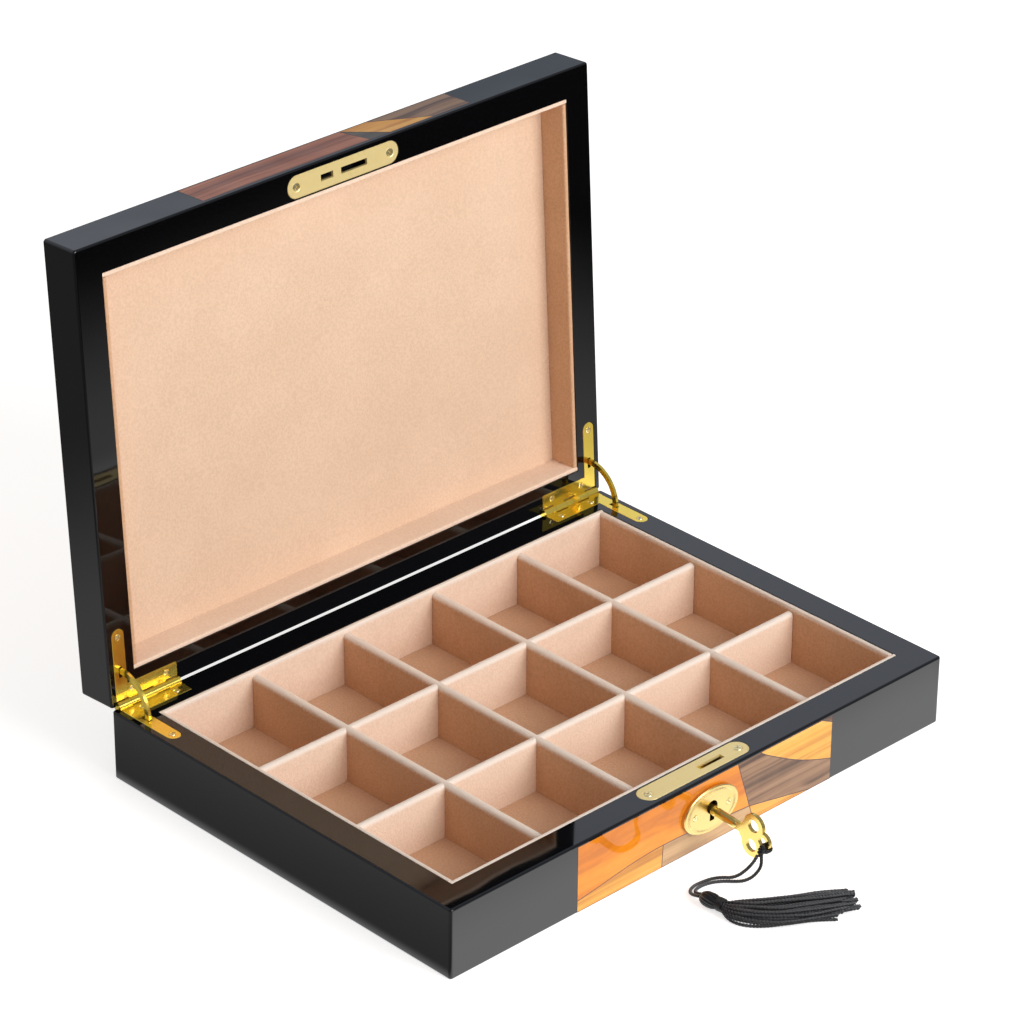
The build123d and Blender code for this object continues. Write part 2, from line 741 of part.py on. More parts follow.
def split_band(band, regions, last):
    """Cut a band into the named pieces that each region covers; the last one is what is left."""
    pieces = {}
    rest = band
    for name, cutter in regions.items():
        pieces[name] = rest & cutter
        rest = rest - cutter
    pieces[last] = rest
    return pieces


base_band = band_sketch(base_band_foot, base_height - base_band_margin)
lid_band_low = lid_rim + lid_band_rim_margin
lid_band_high = lid_top - lid_band_top_margin
lid_band = band_sketch(lid_band_low, lid_band_high)
top_band_depth = box_depth - 2 * lid_top_band_margin
top_band = Pos((band_left + band_right) / 2, 0) * Rectangle(band_right - band_left, top_band_depth)
out = 30.0                    # how far the lid's regions reach past the band

base_regions = {
    "amber": curved_region(
        front_points([
            (-107.5, 0.044), (-77.5, 0.181), (-64, 0.231), (-47, 0.304), (-27, 0.339),
            (-10, 0.327), (26.8, 0.246)]),
        front_points([(18.4, 0.994), (9.4, 1.87), (-107.5, 1.87)])),
    "honey_left": region(front_points([
        (-107.5, -0.877), (-28.6, -0.877), (-26.4, 0.330), (-26.4, 0.585), (-107.5, 0.585)])),
    "olive": region(front_points([
        (-28.6, -0.877), (36.0, -0.877), (29.6, 0.0), (26.8, 0.246), (20.0, 0.585), (-40, 0.585)])),
    "honey_foot": region(front_points([
        (26.8, 0.246), (29.6, 0.0), (36.0, -0.877), (150.0, -0.877), (71.0, -0.015)])),
    "honey_lens": curved_region(
        front_points([
            (28.0, 1.111), (32.0, 0.980), (42.0, 0.787), (57.0, 0.556), (78.8, 0.319),
            (110.0, 0.058)]),
        front_points([(110.0, 0.526), (78.4, 0.865), (68.5, 1.009), (58.0, 1.228)])),
    "walnut_corner": region(front_points([
        (68.5, 1.009), (78.4, 0.865), (110.0, 0.526), (110.0, 2.047), (40.0, 2.047)]))}
base_pieces = split_band(base_band, base_regions, "walnut_field")

lid_regions = {
    "rosewood": region([
        (-107.5, lid_rim - out), (25.0, lid_rim - out), (18.6, lid_band_low),
        (15.2, lid_band_high), (12.0, lid_top + out), (-107.5, lid_top + out)]),
    "smoke": region([
        (15.2, lid_band_high), (18.6, lid_band_low), (25.0, lid_rim - out),
        (60.0, lid_rim - out), (30.0, lid_band_low)]),
    "honey": region([
        (15.2, lid_band_high), (30.0, lid_band_low), (60.0, lid_rim - out),
        (99.0, lid_rim - out), (57.0, lid_band_low), (31.0, lid_band_high),
        (20.0, lid_top + out)])}
lid_pieces = split_band(lid_band, lid_regions, "walnut")

top_regions = {
    "rosewood": curved_region(
        top_points([
            (14.9, -1.278), (14.9, -1.0), (8.0, -0.648), (-12.0, -0.222), (-38.0, 0.167),
            (-130.0, 0.888)]),
        top_points([(-200.0, 0.0), (-200.0, -1.278)])),
    "honey": curved_region(
        top_points([
            (31.0, -1.278), (31.0, -1.0), (34.0, -0.555), (22.0, -0.056), (-14.0, 0.444),
            (-120.0, 1.388)]),
        top_points([(-200.0, 1.388), (-200.0, -1.278)])),
    "walnut": curved_region(
        top_points([
            (160.0, -0.555), (78.5, -0.278), (36.0, 0.130), (8.0, 0.611), (-20.0, 1.480)]),
        top_points([(-120.0, 2.405), (-220.0, 0.370), (0.0, -1.480), (160.0, -1.480)])),
    "far_rosewood": region(top_points([
        (-20.0, 0.370), (200.0, 0.777), (200.0, 1.850), (-60.0, 1.850)]))}
top_pieces = split_band(top_band, top_regions, "smoke")


def base_veneer(sketch):
    return front_face_sketch(sketch, veneer_thickness)


def top_veneer(sketch):
    return Pos(0, 0, lid_top) * extrude(sketch, amount=-veneer_thickness)


# ---- build: lock and escutcheon come first, because the walls are cut to them ----------------
lock_slots = [(lock_slot_left, lock_slot_length)]
keep_slots = [(keep_slot_left, keep_slot_length), (keep_window_left, keep_window_length)]
lock_plate, lock_blank = stadium_plate(
    lock_plate_length, lock_plate_centre, base_height, -1, lock_slots, lock_screw_places, upwards)
keep_plate, keep_blank = stadium_plate(
    keep_plate_length, 0, lid_rim, 1, keep_slots, keep_screw_places, downwards)
escutcheon_screws = [escutcheon_screw(place) for place in escutcheon_screw_places]

save("lock_case", lock_case())
save("lock_face_plate", lock_plate)
save("lock_plate_screws", *[
    upwards(place, countersunk_screw(plate_screw_head_radius)) for place in lock_screw_places])
save("lock_hook", lock_hook())
save("escutcheon", escutcheon())
save("escutcheon_screws", *escutcheon_screws)

# case
walls = base_walls()
for name, wall in walls.items():
    save(f"base_{name}_wall", wall)
save("base_bottom_panel", block(
    -inner_x - rebate_width, inner_x + rebate_width, -inner_y - rebate_width, inner_y + rebate_width,
    felt_thickness, felt_thickness + panel_thickness))
felt_x = inner_x + rebate_width - felt_margin
felt_y = inner_y + rebate_width - felt_margin
save("base_felt", block(-felt_x, felt_x, -felt_y, felt_y, 0, felt_thickness))

base_woods = {
    "amber": ["amber"], "honey": ["honey_left", "honey_foot", "honey_lens"],
    "olive": ["olive"], "walnut": ["walnut_corner", "walnut_field"]}
for wood, names in base_woods.items():
    keyhole = front_face_sketch(keyhole_shape(wall_keyhole_margin), lock_setback)
    solids = [base_veneer(base_pieces[name]) - keyhole for name in names]
    for escutcheon_hole in escutcheon_screws:
        solids = [solid - escutcheon_hole for solid in solids]
    save(f"base_veneer_{wood}", *[part for solid in solids for part in solid.solids()])

# tray
panel_top = felt_thickness + panel_thickness
tray_x = inner_x - lining_thickness
tray_y = inner_y - lining_thickness
save("tray_floor_pad", block(-inner_x, inner_x, -inner_y, inner_y, panel_top, tray_floor))


def lining_board(x0, x1, y0, y1, z0, z1):
    """A covered board whose long top edges are rounded."""
    board = block(x0, x1, y0, y1, z0, z1)
    along = Axis.X if x1 - x0 > y1 - y0 else Axis.Y
    top = [edge for edge in board.edges().filter_by(along) if edge.center().Z > z1 - 0.01]
    return fillet(top, lining_round)


for name, y0, y1 in (("front", -inner_y, -tray_y), ("back", tray_y, inner_y)):
    save(f"tray_lining_{name}", lining_board(-inner_x, inner_x, y0, y1, tray_floor, base_height))
for name, x0, x1 in (("left", -inner_x, -tray_x), ("right", tray_x, inner_x)):
    save(f"tray_lining_{name}", lining_board(x0, x1, -tray_y, tray_y, tray_floor, base_height))

column_width = (2 * tray_x - (column_count - 1) * divider_thickness) / column_count
row_depth = (2 * tray_y - (row_count - 1) * divider_thickness) / row_count
column_centres = [
    -tray_x + index * (column_width + divider_thickness) - divider_thickness / 2
    for index in range(1, column_count)]
row_centres = [
    -tray_y + index * (row_depth + divider_thickness) - divider_thickness / 2
    for index in range(1, row_count)]
half_lap = (tray_floor + divider_top) / 2
lap_half_width = divider_thickness / 2 + lap_clearance


def divider(length, lap_positions, lap_from, lap_to):
    """A covered divider along x with half-lap slots, rounded along its top."""
    board = block(
        -length / 2, length / 2, -divider_thickness / 2, divider_thickness / 2, tray_floor, divider_top)
    top = [edge for edge in board.edges().filter_by(Axis.X) if edge.center().Z > divider_top - 0.01]
    board = fillet(top, divider_round)
    for position in lap_positions:
        board -= block(
            position - lap_half_width, position + lap_half_width,
            -divider_thickness, divider_thickness, lap_from, lap_to)
    return board


for index, x in enumerate(column_centres, start=1):
    long_divider = divider(
        2 * tray_y - 2 * fit_gap, row_centres, tray_floor - 1, half_lap)
    save(f"tray_divider_long_{index}", Pos(x, 0, 0) * long_divider.rotate(Axis.Z, 90))
for index, y in enumerate(row_centres, start=1):
    cross_divider = divider(
        2 * tray_x - 2 * fit_gap, column_centres, half_lap, divider_top + 1)
    save(f"tray_divider_cross_{index}", Pos(0, y, 0) * cross_divider)

# hinges and stays
base_leaf = hinge_leaf(base_height, -1, 0, hinge_pin_radius)
lid_leaf = hinge_leaf(lid_rim, 1, 1, hinge_pin_radius + pin_running_clearance)
for place in hinge_screw_places[:3]:
    base_leaf -= upwards(place, countersunk_screw(screw_head_radius))
    lid_leaf -= downwards(place, countersunk_screw(screw_head_radius))
hinge_pin = barrel_rod(hinge_pin_radius, leaf_inner, leaf_outer)
right_stay = stay()
for name, pick in (("right", lambda shape: shape), ("left", mirror_left)):
    save(f"hinge_base_leaf_{name}", pick(base_leaf))
    save(f"hinge_pin_{name}", pick(hinge_pin))
    save(f"hinge_lid_leaf_{name}", swing_open(pick(lid_leaf)))
    save(f"stay_{name}", swing_half(pick(right_stay)))
save("hinge_base_screws", *[
    upwards(place, countersunk_screw(screw_head_radius)) for place in hinge_screw_places])
save("hinge_lid_screws", *[
    swing_open(downwards(place, countersunk_screw(screw_head_radius))) for place in hinge_screw_places])

# lid
for name, wall in lid_walls().items():
    save(f"lid_{name}_wall", swing_open(wall))
save("lid_top_panel", swing_open(lid_top_panel()))
save("keep_plate", swing_open(keep_plate))
save("keep_plate_screws", *[
    swing_open(downwards(place, countersunk_screw(plate_screw_head_radius)))
    for place in keep_screw_places])
lid_woods = {
    "rosewood": ["rosewood", "far_rosewood"], "smoke": ["smoke"], "honey": ["honey"],
    "walnut": ["walnut"]}
for wood, names in lid_woods.items():
    solids = [base_veneer(lid_pieces[name]) for name in names if name in lid_pieces]
    solids += [top_veneer(top_pieces[name]) for name in names if name in top_pieces]
    save(f"lid_veneer_{wood}", *[swing_open(part) for solid in solids for part in solid.solids()])

recess_top = lid_top - top_panel_thickness
pad_face = recess_top - lid_pad_thickness
lining_foot = lid_rim + lid_lining_drop
save("lid_lining_panel", swing_open(block(-inner_x, inner_x, -inner_y, inner_y, pad_face, recess_top)))


def lid_lining_board(x0, x1, y0, y1):
    """A lid lining, rounded along the edge that faces the tray."""
    flipped = lining_board(x0, x1, y0, y1, -pad_face, -lining_foot)
    return flipped.mirror(Plane.XY)


for name, y0, y1 in (("front", -inner_y, -tray_y), ("back", tray_y, inner_y)):
    save(f"lid_lining_{name}", swing_open(lid_lining_board(-inner_x, inner_x, y0, y1)))
for name, x0, x1 in (("left", -inner_x, -tray_x), ("right", tray_x, inner_x)):
    save(f"lid_lining_{name}", swing_open(lid_lining_board(x0, x1, -tray_y, tray_y)))

# key and tassel
save("key", key())
save("key_hitch", key_hitch())
save("tassel_cord_a", cord_tube("tassel_cord_a", cord_a_route))
save("tassel_cord_b", cord_tube("tassel_cord_b", cord_b_route))
save("tassel_head", tassel_head())
save("tassel_skirt", tassel_skirt())
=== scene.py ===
import json
import math
import random

import bmesh
import bpy
from mathutils import Matrix, Vector, kdtree, noise


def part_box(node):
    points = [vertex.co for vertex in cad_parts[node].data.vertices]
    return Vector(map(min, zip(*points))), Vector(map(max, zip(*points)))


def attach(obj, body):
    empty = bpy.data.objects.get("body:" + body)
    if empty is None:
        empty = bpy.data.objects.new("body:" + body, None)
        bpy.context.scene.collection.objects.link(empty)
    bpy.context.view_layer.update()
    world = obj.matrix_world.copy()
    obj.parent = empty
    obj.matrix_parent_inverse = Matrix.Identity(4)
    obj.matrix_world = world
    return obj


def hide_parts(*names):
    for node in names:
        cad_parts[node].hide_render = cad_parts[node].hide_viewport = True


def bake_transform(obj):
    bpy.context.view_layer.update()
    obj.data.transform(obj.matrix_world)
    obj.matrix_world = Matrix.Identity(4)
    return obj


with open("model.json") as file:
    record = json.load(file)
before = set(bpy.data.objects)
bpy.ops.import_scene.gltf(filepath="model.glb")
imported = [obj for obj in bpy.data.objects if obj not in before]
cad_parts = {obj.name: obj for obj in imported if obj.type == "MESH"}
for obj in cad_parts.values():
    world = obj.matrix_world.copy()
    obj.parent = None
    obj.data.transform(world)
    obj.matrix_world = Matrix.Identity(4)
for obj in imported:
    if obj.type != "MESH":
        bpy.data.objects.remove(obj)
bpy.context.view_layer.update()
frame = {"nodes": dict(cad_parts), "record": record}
random.seed(11)
print("frame loaded")


# ---- camera: long lens, from the left front, looking down a little
camera = {
    "place": (-1.18273, -1.21178, 1.03529),
    "right": (0.72195, -0.69192, 0.00681),
    "down": (-0.32474, -0.34749, -0.87966),
    "forward": (0.61101, 0.63285, -0.47556),
    "lens": 156.64,
}


def placeCamera(values):
    lens = bpy.data.cameras.new("viewer")
    lens.sensor_width = 36
    lens.lens = values["lens"]
    lens.clip_end = 20
    viewer = bpy.data.objects.new("viewer", lens)
    across = Vector(values["right"]).normalized()
    back = -Vector(values["forward"]).normalized()
    up = back.cross(across).normalized()
    turn = Matrix((across, up, back)).transposed().to_4x4()
    viewer.matrix_world = Matrix.Translation(values["place"]) @ turn
    bpy.context.collection.objects.link(viewer)
    bpy.context.scene.camera = viewer


placeCamera(camera)
print("camera placed")


# ---- node wiring: sums on wires become Math nodes
class Wire:
    def __init__(self, finish, socket):
        self.finish = finish
        self.socket = socket

    def maths(self, operation, first, second):
        return self.finish.add("ShaderNodeMath", {"operation": operation}, {0: first, 1: second})

    def __add__(self, other):
        return self.maths("ADD", self, other)

    def __radd__(self, other):
        return self.maths("ADD", other, self)

    def __sub__(self, other):
        return self.maths("SUBTRACT", self, other)

    def __rsub__(self, other):
        return self.maths("SUBTRACT", other, self)

    def __mul__(self, other):
        return self.maths("MULTIPLY", self, other)

    def __rmul__(self, other):
        return self.maths("MULTIPLY", other, self)

    def __pow__(self, other):
        return self.maths("POWER", self, other)

    def within(self, low, high, newLow=0.0, newHigh=1.0):
        return self.finish.add(
            "ShaderNodeMapRange", {"interpolation_type": "SMOOTHSTEP"},
            {"Value": self, "From Min": low, "From Max": high, "To Min": newLow, "To Max": newHigh})


class Finish:
    def __init__(self, name, tree=None):
        if tree is None:
            self.material = bpy.data.materials.new(name)
            self.material.use_nodes = True
            tree = self.material.node_tree
        self.tree = tree
        self.tree.nodes.clear()

    def add(self, kind, settings=None, inputs=None, out=0):
        node = self.tree.nodes.new(kind)
        for key, value in (settings or {}).items():
            if key == "stops":
                ramp = node.color_ramp
                while len(ramp.elements) < len(value):
                    ramp.elements.new(0.5)
                for element, (place, shade) in zip(ramp.elements, value):
                    element.position = place
                    element.color = (*shade, 1)
            else:
                setattr(node, key, value)
        for key, value in (inputs or {}).items():
            if isinstance(value, Wire):
                self.tree.links.new(value.socket, node.inputs[key])
            else:
                node.inputs[key].default_value = value
        return Wire(self, node.outputs[out]) if len(node.outputs) else None

    def place(self):
        return self.add("ShaderNodeTexCoord", out="Object")

    def mapped(self, vector, scale, turn=(0, 0, 0), move=(0, 0, 0)):
        return self.add("ShaderNodeMapping", None, {
            "Vector": vector, "Scale": scale, "Rotation": [math.radians(angle) for angle in turn],
            "Location": move})

    def cloud(self, vector, scale, detail=3.0, roughness=0.5, distortion=0.0):
        return self.add("ShaderNodeTexNoise", None, {
            "Vector": vector, "Scale": scale, "Detail": detail, "Roughness": roughness,
            "Distortion": distortion})

    def ramp(self, amount, *stops):
        return self.add("ShaderNodeValToRGB", {"stops": stops}, {"Fac": amount})

    def mixed(self, amount, first, second, blend="MIX"):
        return self.add(
            "ShaderNodeMix", {"data_type": "RGBA", "blend_type": blend},
            {0: amount, 6: first, 7: second}, out=2)

    def bumped(self, height, strength, distance):
        return self.add("ShaderNodeBump", None, {
            "Height": height, "Strength": strength, "Distance": distance})

    def surface(self, **inputs):
        wanted = {name.replace("_", " "): value for name, value in inputs.items()}
        shader = self.add("ShaderNodeBsdfPrincipled", None, wanted)
        self.add("ShaderNodeOutputMaterial", None, {"Surface": shader})
        return self.material


# ---- finishes
hingeAxis = {"place": (0.0, 0.1081, 0.0344), "openAngle": 93.4}


def lidPlace(finish):
    # a piece of the lid carries its pattern as it lies when the lid is shut
    return finish.add(
        "ShaderNodeVectorRotate", {"rotation_type": "X_AXIS"},
        {"Vector": finish.place(), "Center": hingeAxis["place"],
         "Angle": math.radians(hingeAxis["openAngle"])})


lacquer = {"colour": (0.0014, 0.0014, 0.0018, 1), "roughness": 0.025, "ior": 1.55}


def lacquerFinish(values):
    finish = Finish("blackLacquer")
    where = finish.place()
    wave = finish.cloud(where, 22, 1.0)
    dust = finish.cloud(where, 900, 2.0)
    smear = finish.cloud(where, 35, 3.0).within(0.45, 0.8)
    return finish.surface(
        Base_Color=values["colour"], IOR=values["ior"],
        Roughness=smear * 0.02 + values["roughness"],
        Normal=finish.bumped(wave + dust * 0.003, 0.08, 0.002))


# the velvet comes in copies: a painted-light copy for boards facing the lamp, a painted-shade copy for boards
# facing away, the pad colour, and a darker painted-shade copy for the tray floors; the pale band along a
# board's top edge is a painted highlight
velvets = {
    "velvetAcross": {"colour": (0.97, 0.755, 0.60), "deep": (0.88, 0.655, 0.50)},
    "velvetAlong": {"colour": (0.76, 0.47, 0.29), "deep": (0.64, 0.37, 0.21)},
    "velvetPad": {"colour": (0.87, 0.63, 0.46), "deep": (0.77, 0.54, 0.38)},
    "velvetFloor": {"colour": (0.80, 0.515, 0.34), "deep": (0.69, 0.42, 0.26)},
}
velvetPile = {"crownColour": (0.97, 0.86, 0.77, 1), "sheen": 0.26, "sheenTint": (1.0, 0.92, 0.85, 1)}


def velvetFinish(name, values, highlightTop):
    finish = Finish(name)
    where = finish.place()
    pile = finish.cloud(where, 2600, 2.0, 0.7)
    tuft = finish.cloud(where, 900, 2.0, 0.6)
    brushed = finish.cloud(where, 26, 3.0, 0.6)
    shade = finish.mixed(
        brushed.within(0.35, 0.7) * 0.35 + tuft.within(0.35, 0.65) * 0.65,
        (*values["deep"], 1), (*values["colour"], 1))
    # a painted highlight: near the board's top edge the colour is mixed towards a pale tint
    if highlightTop:
        level = finish.add("ShaderNodeSeparateXYZ", None, {"Vector": where}, "Z") + tuft * 0.0012
        shade = finish.mixed(level.within(highlightTop - 0.0024, highlightTop - 0.0002) * 0.9, shade,
                             velvetPile["crownColour"])
    return finish.surface(
        Base_Color=shade, Roughness=0.95, Specular_IOR_Level=0.12,
        Sheen_Weight=velvetPile["sheen"], Sheen_Roughness=0.45, Sheen_Tint=velvetPile["sheenTint"],
        Normal=finish.bumped(pile * 0.7 + tuft * 0.8, 0.6, 0.0005))


brass = {
    "polished": (1.0, 0.73, 0.12, 1), "satin": (1.0, 0.80, 0.36, 1), "plate": (0.68, 0.51, 0.20, 1),
    "key": (0.70, 0.51, 0.15, 1), "screw": (1.0, 0.86, 0.48, 1),
    "tarnish": (0.62, 0.38, 0.06, 1),
}


def brassFinish(name, colour, roughness, grainStrength, grainScale, metallic=1.0):
    finish = Finish(name)
    where = finish.place()
    grain = finish.cloud(finish.mapped(where, grainScale), 1.0, 3.0, 0.7)
    patina = finish.cloud(where, 140, 3.0, 0.6)
    shade = finish.mixed(patina.within(0.5, 0.85) * 0.25, colour, brass["tarnish"])
    return finish.surface(
        Base_Color=shade, Metallic=metallic, Roughness=patina * 0.08 + roughness,
        Normal=finish.bumped(grain, grainStrength, 0.0003))


# the keyhole plate: a ring of fine milling runs round the oval
escutcheon = {
    "centre": (0.0011, 0.0184), "halfWidth": 0.0165, "halfHeight": 0.0108, "ring": (0.80, 0.88),
    "teeth": 96, "roughness": 0.24,
}


def escutcheonFinish(values):
    finish = Finish("milledBrass")
    spot = {"Vector": finish.place()}
    across = (finish.add("ShaderNodeSeparateXYZ", None, spot, "X") - values["centre"][0])
    upwards = (finish.add("ShaderNodeSeparateXYZ", None, spot, "Z") - values["centre"][1])
    across = across * (1 / values["halfWidth"])
    upwards = upwards * (1 / values["halfHeight"])
    reach = (across * across + upwards * upwards) ** 0.5
    inner, outer = values["ring"]
    ring = reach.within(inner, inner + 0.02) * (1 - reach.within(outer, outer + 0.02))
    angle = finish.add("ShaderNodeMath", {"operation": "ARCTAN2"}, {0: upwards, 1: across})
    teeth = finish.add("ShaderNodeMath", {"operation": "SINE"}, {0: angle * values["teeth"]})
    patina = finish.cloud(finish.place(), 140, 3.0, 0.6)
    shade = finish.mixed(
        patina.within(0.5, 0.85) * 0.25 + ring * teeth.within(0.0, 1.0) * 0.25,
        brass["plate"], brass["tarnish"])
    return finish.surface(
        Base_Color=shade, Metallic=1.0, Roughness=patina * 0.08 + values["roughness"],
        Normal=finish.bumped(ring * teeth, 0.5, 0.0002))


def feltFinish():
    finish = Finish("blackFelt")
    fluff = finish.cloud(finish.place(), 1500, 4.0, 0.7)
    return finish.surface(
        Base_Color=finish.ramp(fluff, (0.3, (0.012, 0.012, 0.013)), (0.8, (0.05, 0.05, 0.052))),
        Roughness=1.0, Sheen_Weight=0.4, Sheen_Roughness=0.6,
        Normal=finish.bumped(fluff, 0.6, 0.0005))


# a painted highlight is written on each strand: pale where a ply comes to the top, leaving painted shade in the
# grooves
silk = {"groove": (0.004, 0.004, 0.005, 1), "thread": (0.010, 0.010, 0.012, 1), "crest": (0.135, 0.14, 0.15, 1)}


def silkFinish(name, values, withCrestHighlights):
    finish = Finish(name)
    thread = finish.cloud(finish.place(), 2600, 2.0, 0.6)
    shade = finish.mixed(thread.within(0.3, 0.75), values["groove"], values["thread"])
    if withCrestHighlights:
        # painted highlight on the ply tops, read from the mesh attribute
        crest = finish.add("ShaderNodeAttribute", {"attribute_name": "crest"}, out="Fac")
        shade = finish.mixed(crest * (thread * 0.6 + 0.6), shade, values["crest"])
    return finish.surface(
        Base_Color=shade, Roughness=0.36, Specular_IOR_Level=0.38, Sheen_Weight=0.16, Sheen_Roughness=0.35,
        Normal=finish.bumped(thread, 0.5, 0.0002))


# grain: how far the pattern is squeezed along x; turn: tilt of the grain in degrees
veneers = {
    "veneer_amber": {
        "light": (0.93, 0.36, 0.028), "middle": (0.86, 0.27, 0.014), "dark": (0.50, 0.13, 0.02),
        "turn": (0, 3, 0), "grain": (6, 90, 170), "streak": 0.7, "figure": 0.2, "move": (3, 1, 2)},
    "veneer_honey": {
        "light": (0.97, 0.54, 0.12), "middle": (0.90, 0.42, 0.06), "dark": (0.48, 0.165, 0.025),
        "turn": (0, 2, 30), "grain": (5, 210, 420), "streak": 0.8, "figure": 0.1, "move": (1, 6, 4)},
    "veneer_olive": {
        "light": (0.71, 0.465, 0.24), "middle": (0.59, 0.36, 0.175), "dark": (0.34, 0.19, 0.09),
        "turn": (0, 0, 0), "grain": (9, 240, 420), "streak": 0.6, "figure": 0.1, "move": (5, 2, 8)},
    "veneer_walnut": {
        "light": (0.40, 0.235, 0.132), "middle": (0.29, 0.158, 0.085), "dark": (0.075, 0.035, 0.02),
        "turn": (0, 1, 20), "grain": (5, 160, 340), "streak": 1.0, "figure": 0.12, "move": (7, 4, 1)},
    "veneer_rosewood": {
        "light": (0.60, 0.25, 0.13), "middle": (0.44, 0.15, 0.075), "dark": (0.17, 0.05, 0.028),
        "turn": (0, 2, 20), "grain": (5, 240, 330), "streak": 0.9, "figure": 0.1, "move": (2, 9, 5)},
    "veneer_smoke": {
        "light": (0.15, 0.12, 0.085), "middle": (0.10, 0.078, 0.056), "dark": (0.045, 0.035, 0.026),
        "turn": (0, 4, 70), "grain": (7, 220, 280), "streak": 0.8, "figure": 0.1, "move": (4, 4, 4)},
}


def veneerFinish(name, values, onLid):
    finish = Finish(name + ("Lid" if onLid else "Base"))
    where = lidPlace(finish) if onLid else finish.place()
    warp = finish.cloud(where, 18, 2.0)
    along = finish.mapped(where, values["grain"], values["turn"], values["move"])
    bent = finish.add("ShaderNodeVectorMath", {"operation": "ADD"}, {
        0: along, 1: finish.add("ShaderNodeCombineXYZ", None, {"Y": warp * 1.4, "Z": warp * 1.6})})
    broad = finish.cloud(bent, 0.55, 3.0, 0.6, 0.4)
    fine = finish.cloud(finish.mapped(where, [side * 3.2 for side in values["grain"]],
                                      values["turn"], values["move"]), 1.0, 4.0, 0.7)
    curl = finish.cloud(where, 60, 3.0, 0.55, 1.8)
    amount = (
        broad.within(0.32, 0.68) * (0.75 * values["streak"]) + fine * 0.35
        + curl.within(0.35, 0.7) * (0.45 * values["figure"]))
    shade = finish.ramp(
        amount, (0.12, values["light"]), (0.48, values["middle"]), (0.95, values["dark"]))
    pores = fine.within(0.62, 0.78)
    shade = finish.mixed(pores * 0.35, shade, (*values["dark"], 1))
    ripple = finish.cloud(where, 40, 1.0)
    return finish.surface(
        Base_Color=shade, Roughness=0.04, IOR=1.5, Specular_IOR_Level=0.3,
        Normal=finish.bumped(ripple, 0.08, 0.002))


def glueFinish():
    # the dark lines where two woods meet
    finish = Finish("glueLine")
    fleck = finish.cloud(finish.place(), 900, 2.0)
    return finish.surface(
        Base_Color=finish.ramp(fleck, (0.3, (0.055, 0.022, 0.020)), (0.7, (0.10, 0.045, 0.035))),
        Roughness=0.10, IOR=1.5)


finishes = {
    "lacquer": lacquerFinish(lacquer),
    "felt": feltFinish(),
    "glue": glueFinish(),
    "brass": brassFinish("polishedBrass", brass["polished"], 0.13, 0.06, (300, 300, 300), 0.94),
    "satinBrass": brassFinish("satinBrass", brass["satin"], 0.30, 0.12, (120, 2600, 2600), 0.42),
    "screwBrass": brassFinish("screwBrass", brass["screw"], 0.16, 0.06, (300, 300, 300), 0.85),
    "keyBrass": brassFinish("keyBrass", brass["key"], 0.12, 0.06, (300, 300, 300), 0.96),
    "milledBrass": escutcheonFinish(escutcheon),
    "tassel_silk": silkFinish("blackSilk", silk, False),
    "twistedSilk": silkFinish("twistedSilk", silk, True),
}
# each velvet also has copies with a painted highlight along the top edge, at the height of the tray rims and of
# the dividers
for name, values in velvets.items():
    finishes[name] = velvetFinish(name, values, None)
    finishes[name + "Rim"] = velvetFinish(name + "Rim", values, 0.0342)
    finishes[name + "Divider"] = velvetFinish(name + "Divider", values, 0.0320)
otherBrass = {
    "lock_face_plate": "satinBrass", "keep_plate": "satinBrass", "escutcheon": "milledBrass",
    "key": "keyBrass",
}
slotOf = {part["node"]: part["material_slot"] for part in frame["record"]["subparts"]}
lidNodes = set(frame["record"]["behaviour"]["bodies"]["lid"])


def dress(piece, finish):
    if not piece.material_slots:
        piece.data.materials.append(finish)
    for slot in piece.material_slots:
        slot.material = finish


for name, piece in frame["nodes"].items():
    slot = slotOf[name]
    if slot.startswith("veneer"):
        finish = veneerFinish(slot, veneers[slot], name in lidNodes)
    else:
        finish = finishes[otherBrass.get(name, "velvetPad" if slot == "velvet" else slot)]
    dress(piece, finish)
print("finishes made")


# ---- making pieces
def newPiece(name, mesh, finish, body, slot, *nodes):
    piece = bpy.data.objects.new(name, mesh)
    bpy.context.collection.objects.link(piece)
    dress(piece, finish)
    if nodes:
        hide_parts(*nodes)
    if body:
        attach(piece, body)
    return piece


def meshFrom(shape, name, smooth=True):
    bmesh.ops.recalc_face_normals(shape, faces=shape.faces)
    mesh = bpy.data.meshes.new(name)
    shape.to_mesh(mesh)
    shape.free()
    for face in mesh.polygons:
        face.use_smooth = smooth
    return mesh


def splinePoints(points):
    # points read along the smooth spline through a route
    curve = bpy.data.curves.new("route", "CURVE")
    curve.dimensions = "3D"
    curve.resolution_u = 24
    spline = curve.splines.new("NURBS")
    spline.points.add(len(points) - 1)
    for control, point in zip(spline.points, points):
        control.co = (*point, 1)
    spline.order_u = 3
    spline.use_endpoint_u = True
    holder = bpy.data.objects.new("route", curve)
    line = bpy.data.meshes.new_from_object(holder)
    read = [vertex.co.copy() for vertex in line.vertices]
    bpy.data.objects.remove(holder)
    bpy.data.curves.remove(curve)
    bpy.data.meshes.remove(line)
    return read


def evenPoints(points, step):
    # the same line with points a set distance apart
    lengths = [0.0]
    for before, after in zip(points, points[1:]):
        lengths.append(lengths[-1] + (after - before).length)
    count = max(2, round(lengths[-1] / step))
    even, index = [], 0
    for number in range(count + 1):
        wanted = lengths[-1] * number / count
        while index < len(lengths) - 2 and lengths[index + 1] < wanted:
            index += 1
        span = max(lengths[index + 1] - lengths[index], 1e-9)
        even.append(points[index].lerp(points[index + 1], (wanted - lengths[index]) / span))
    return even


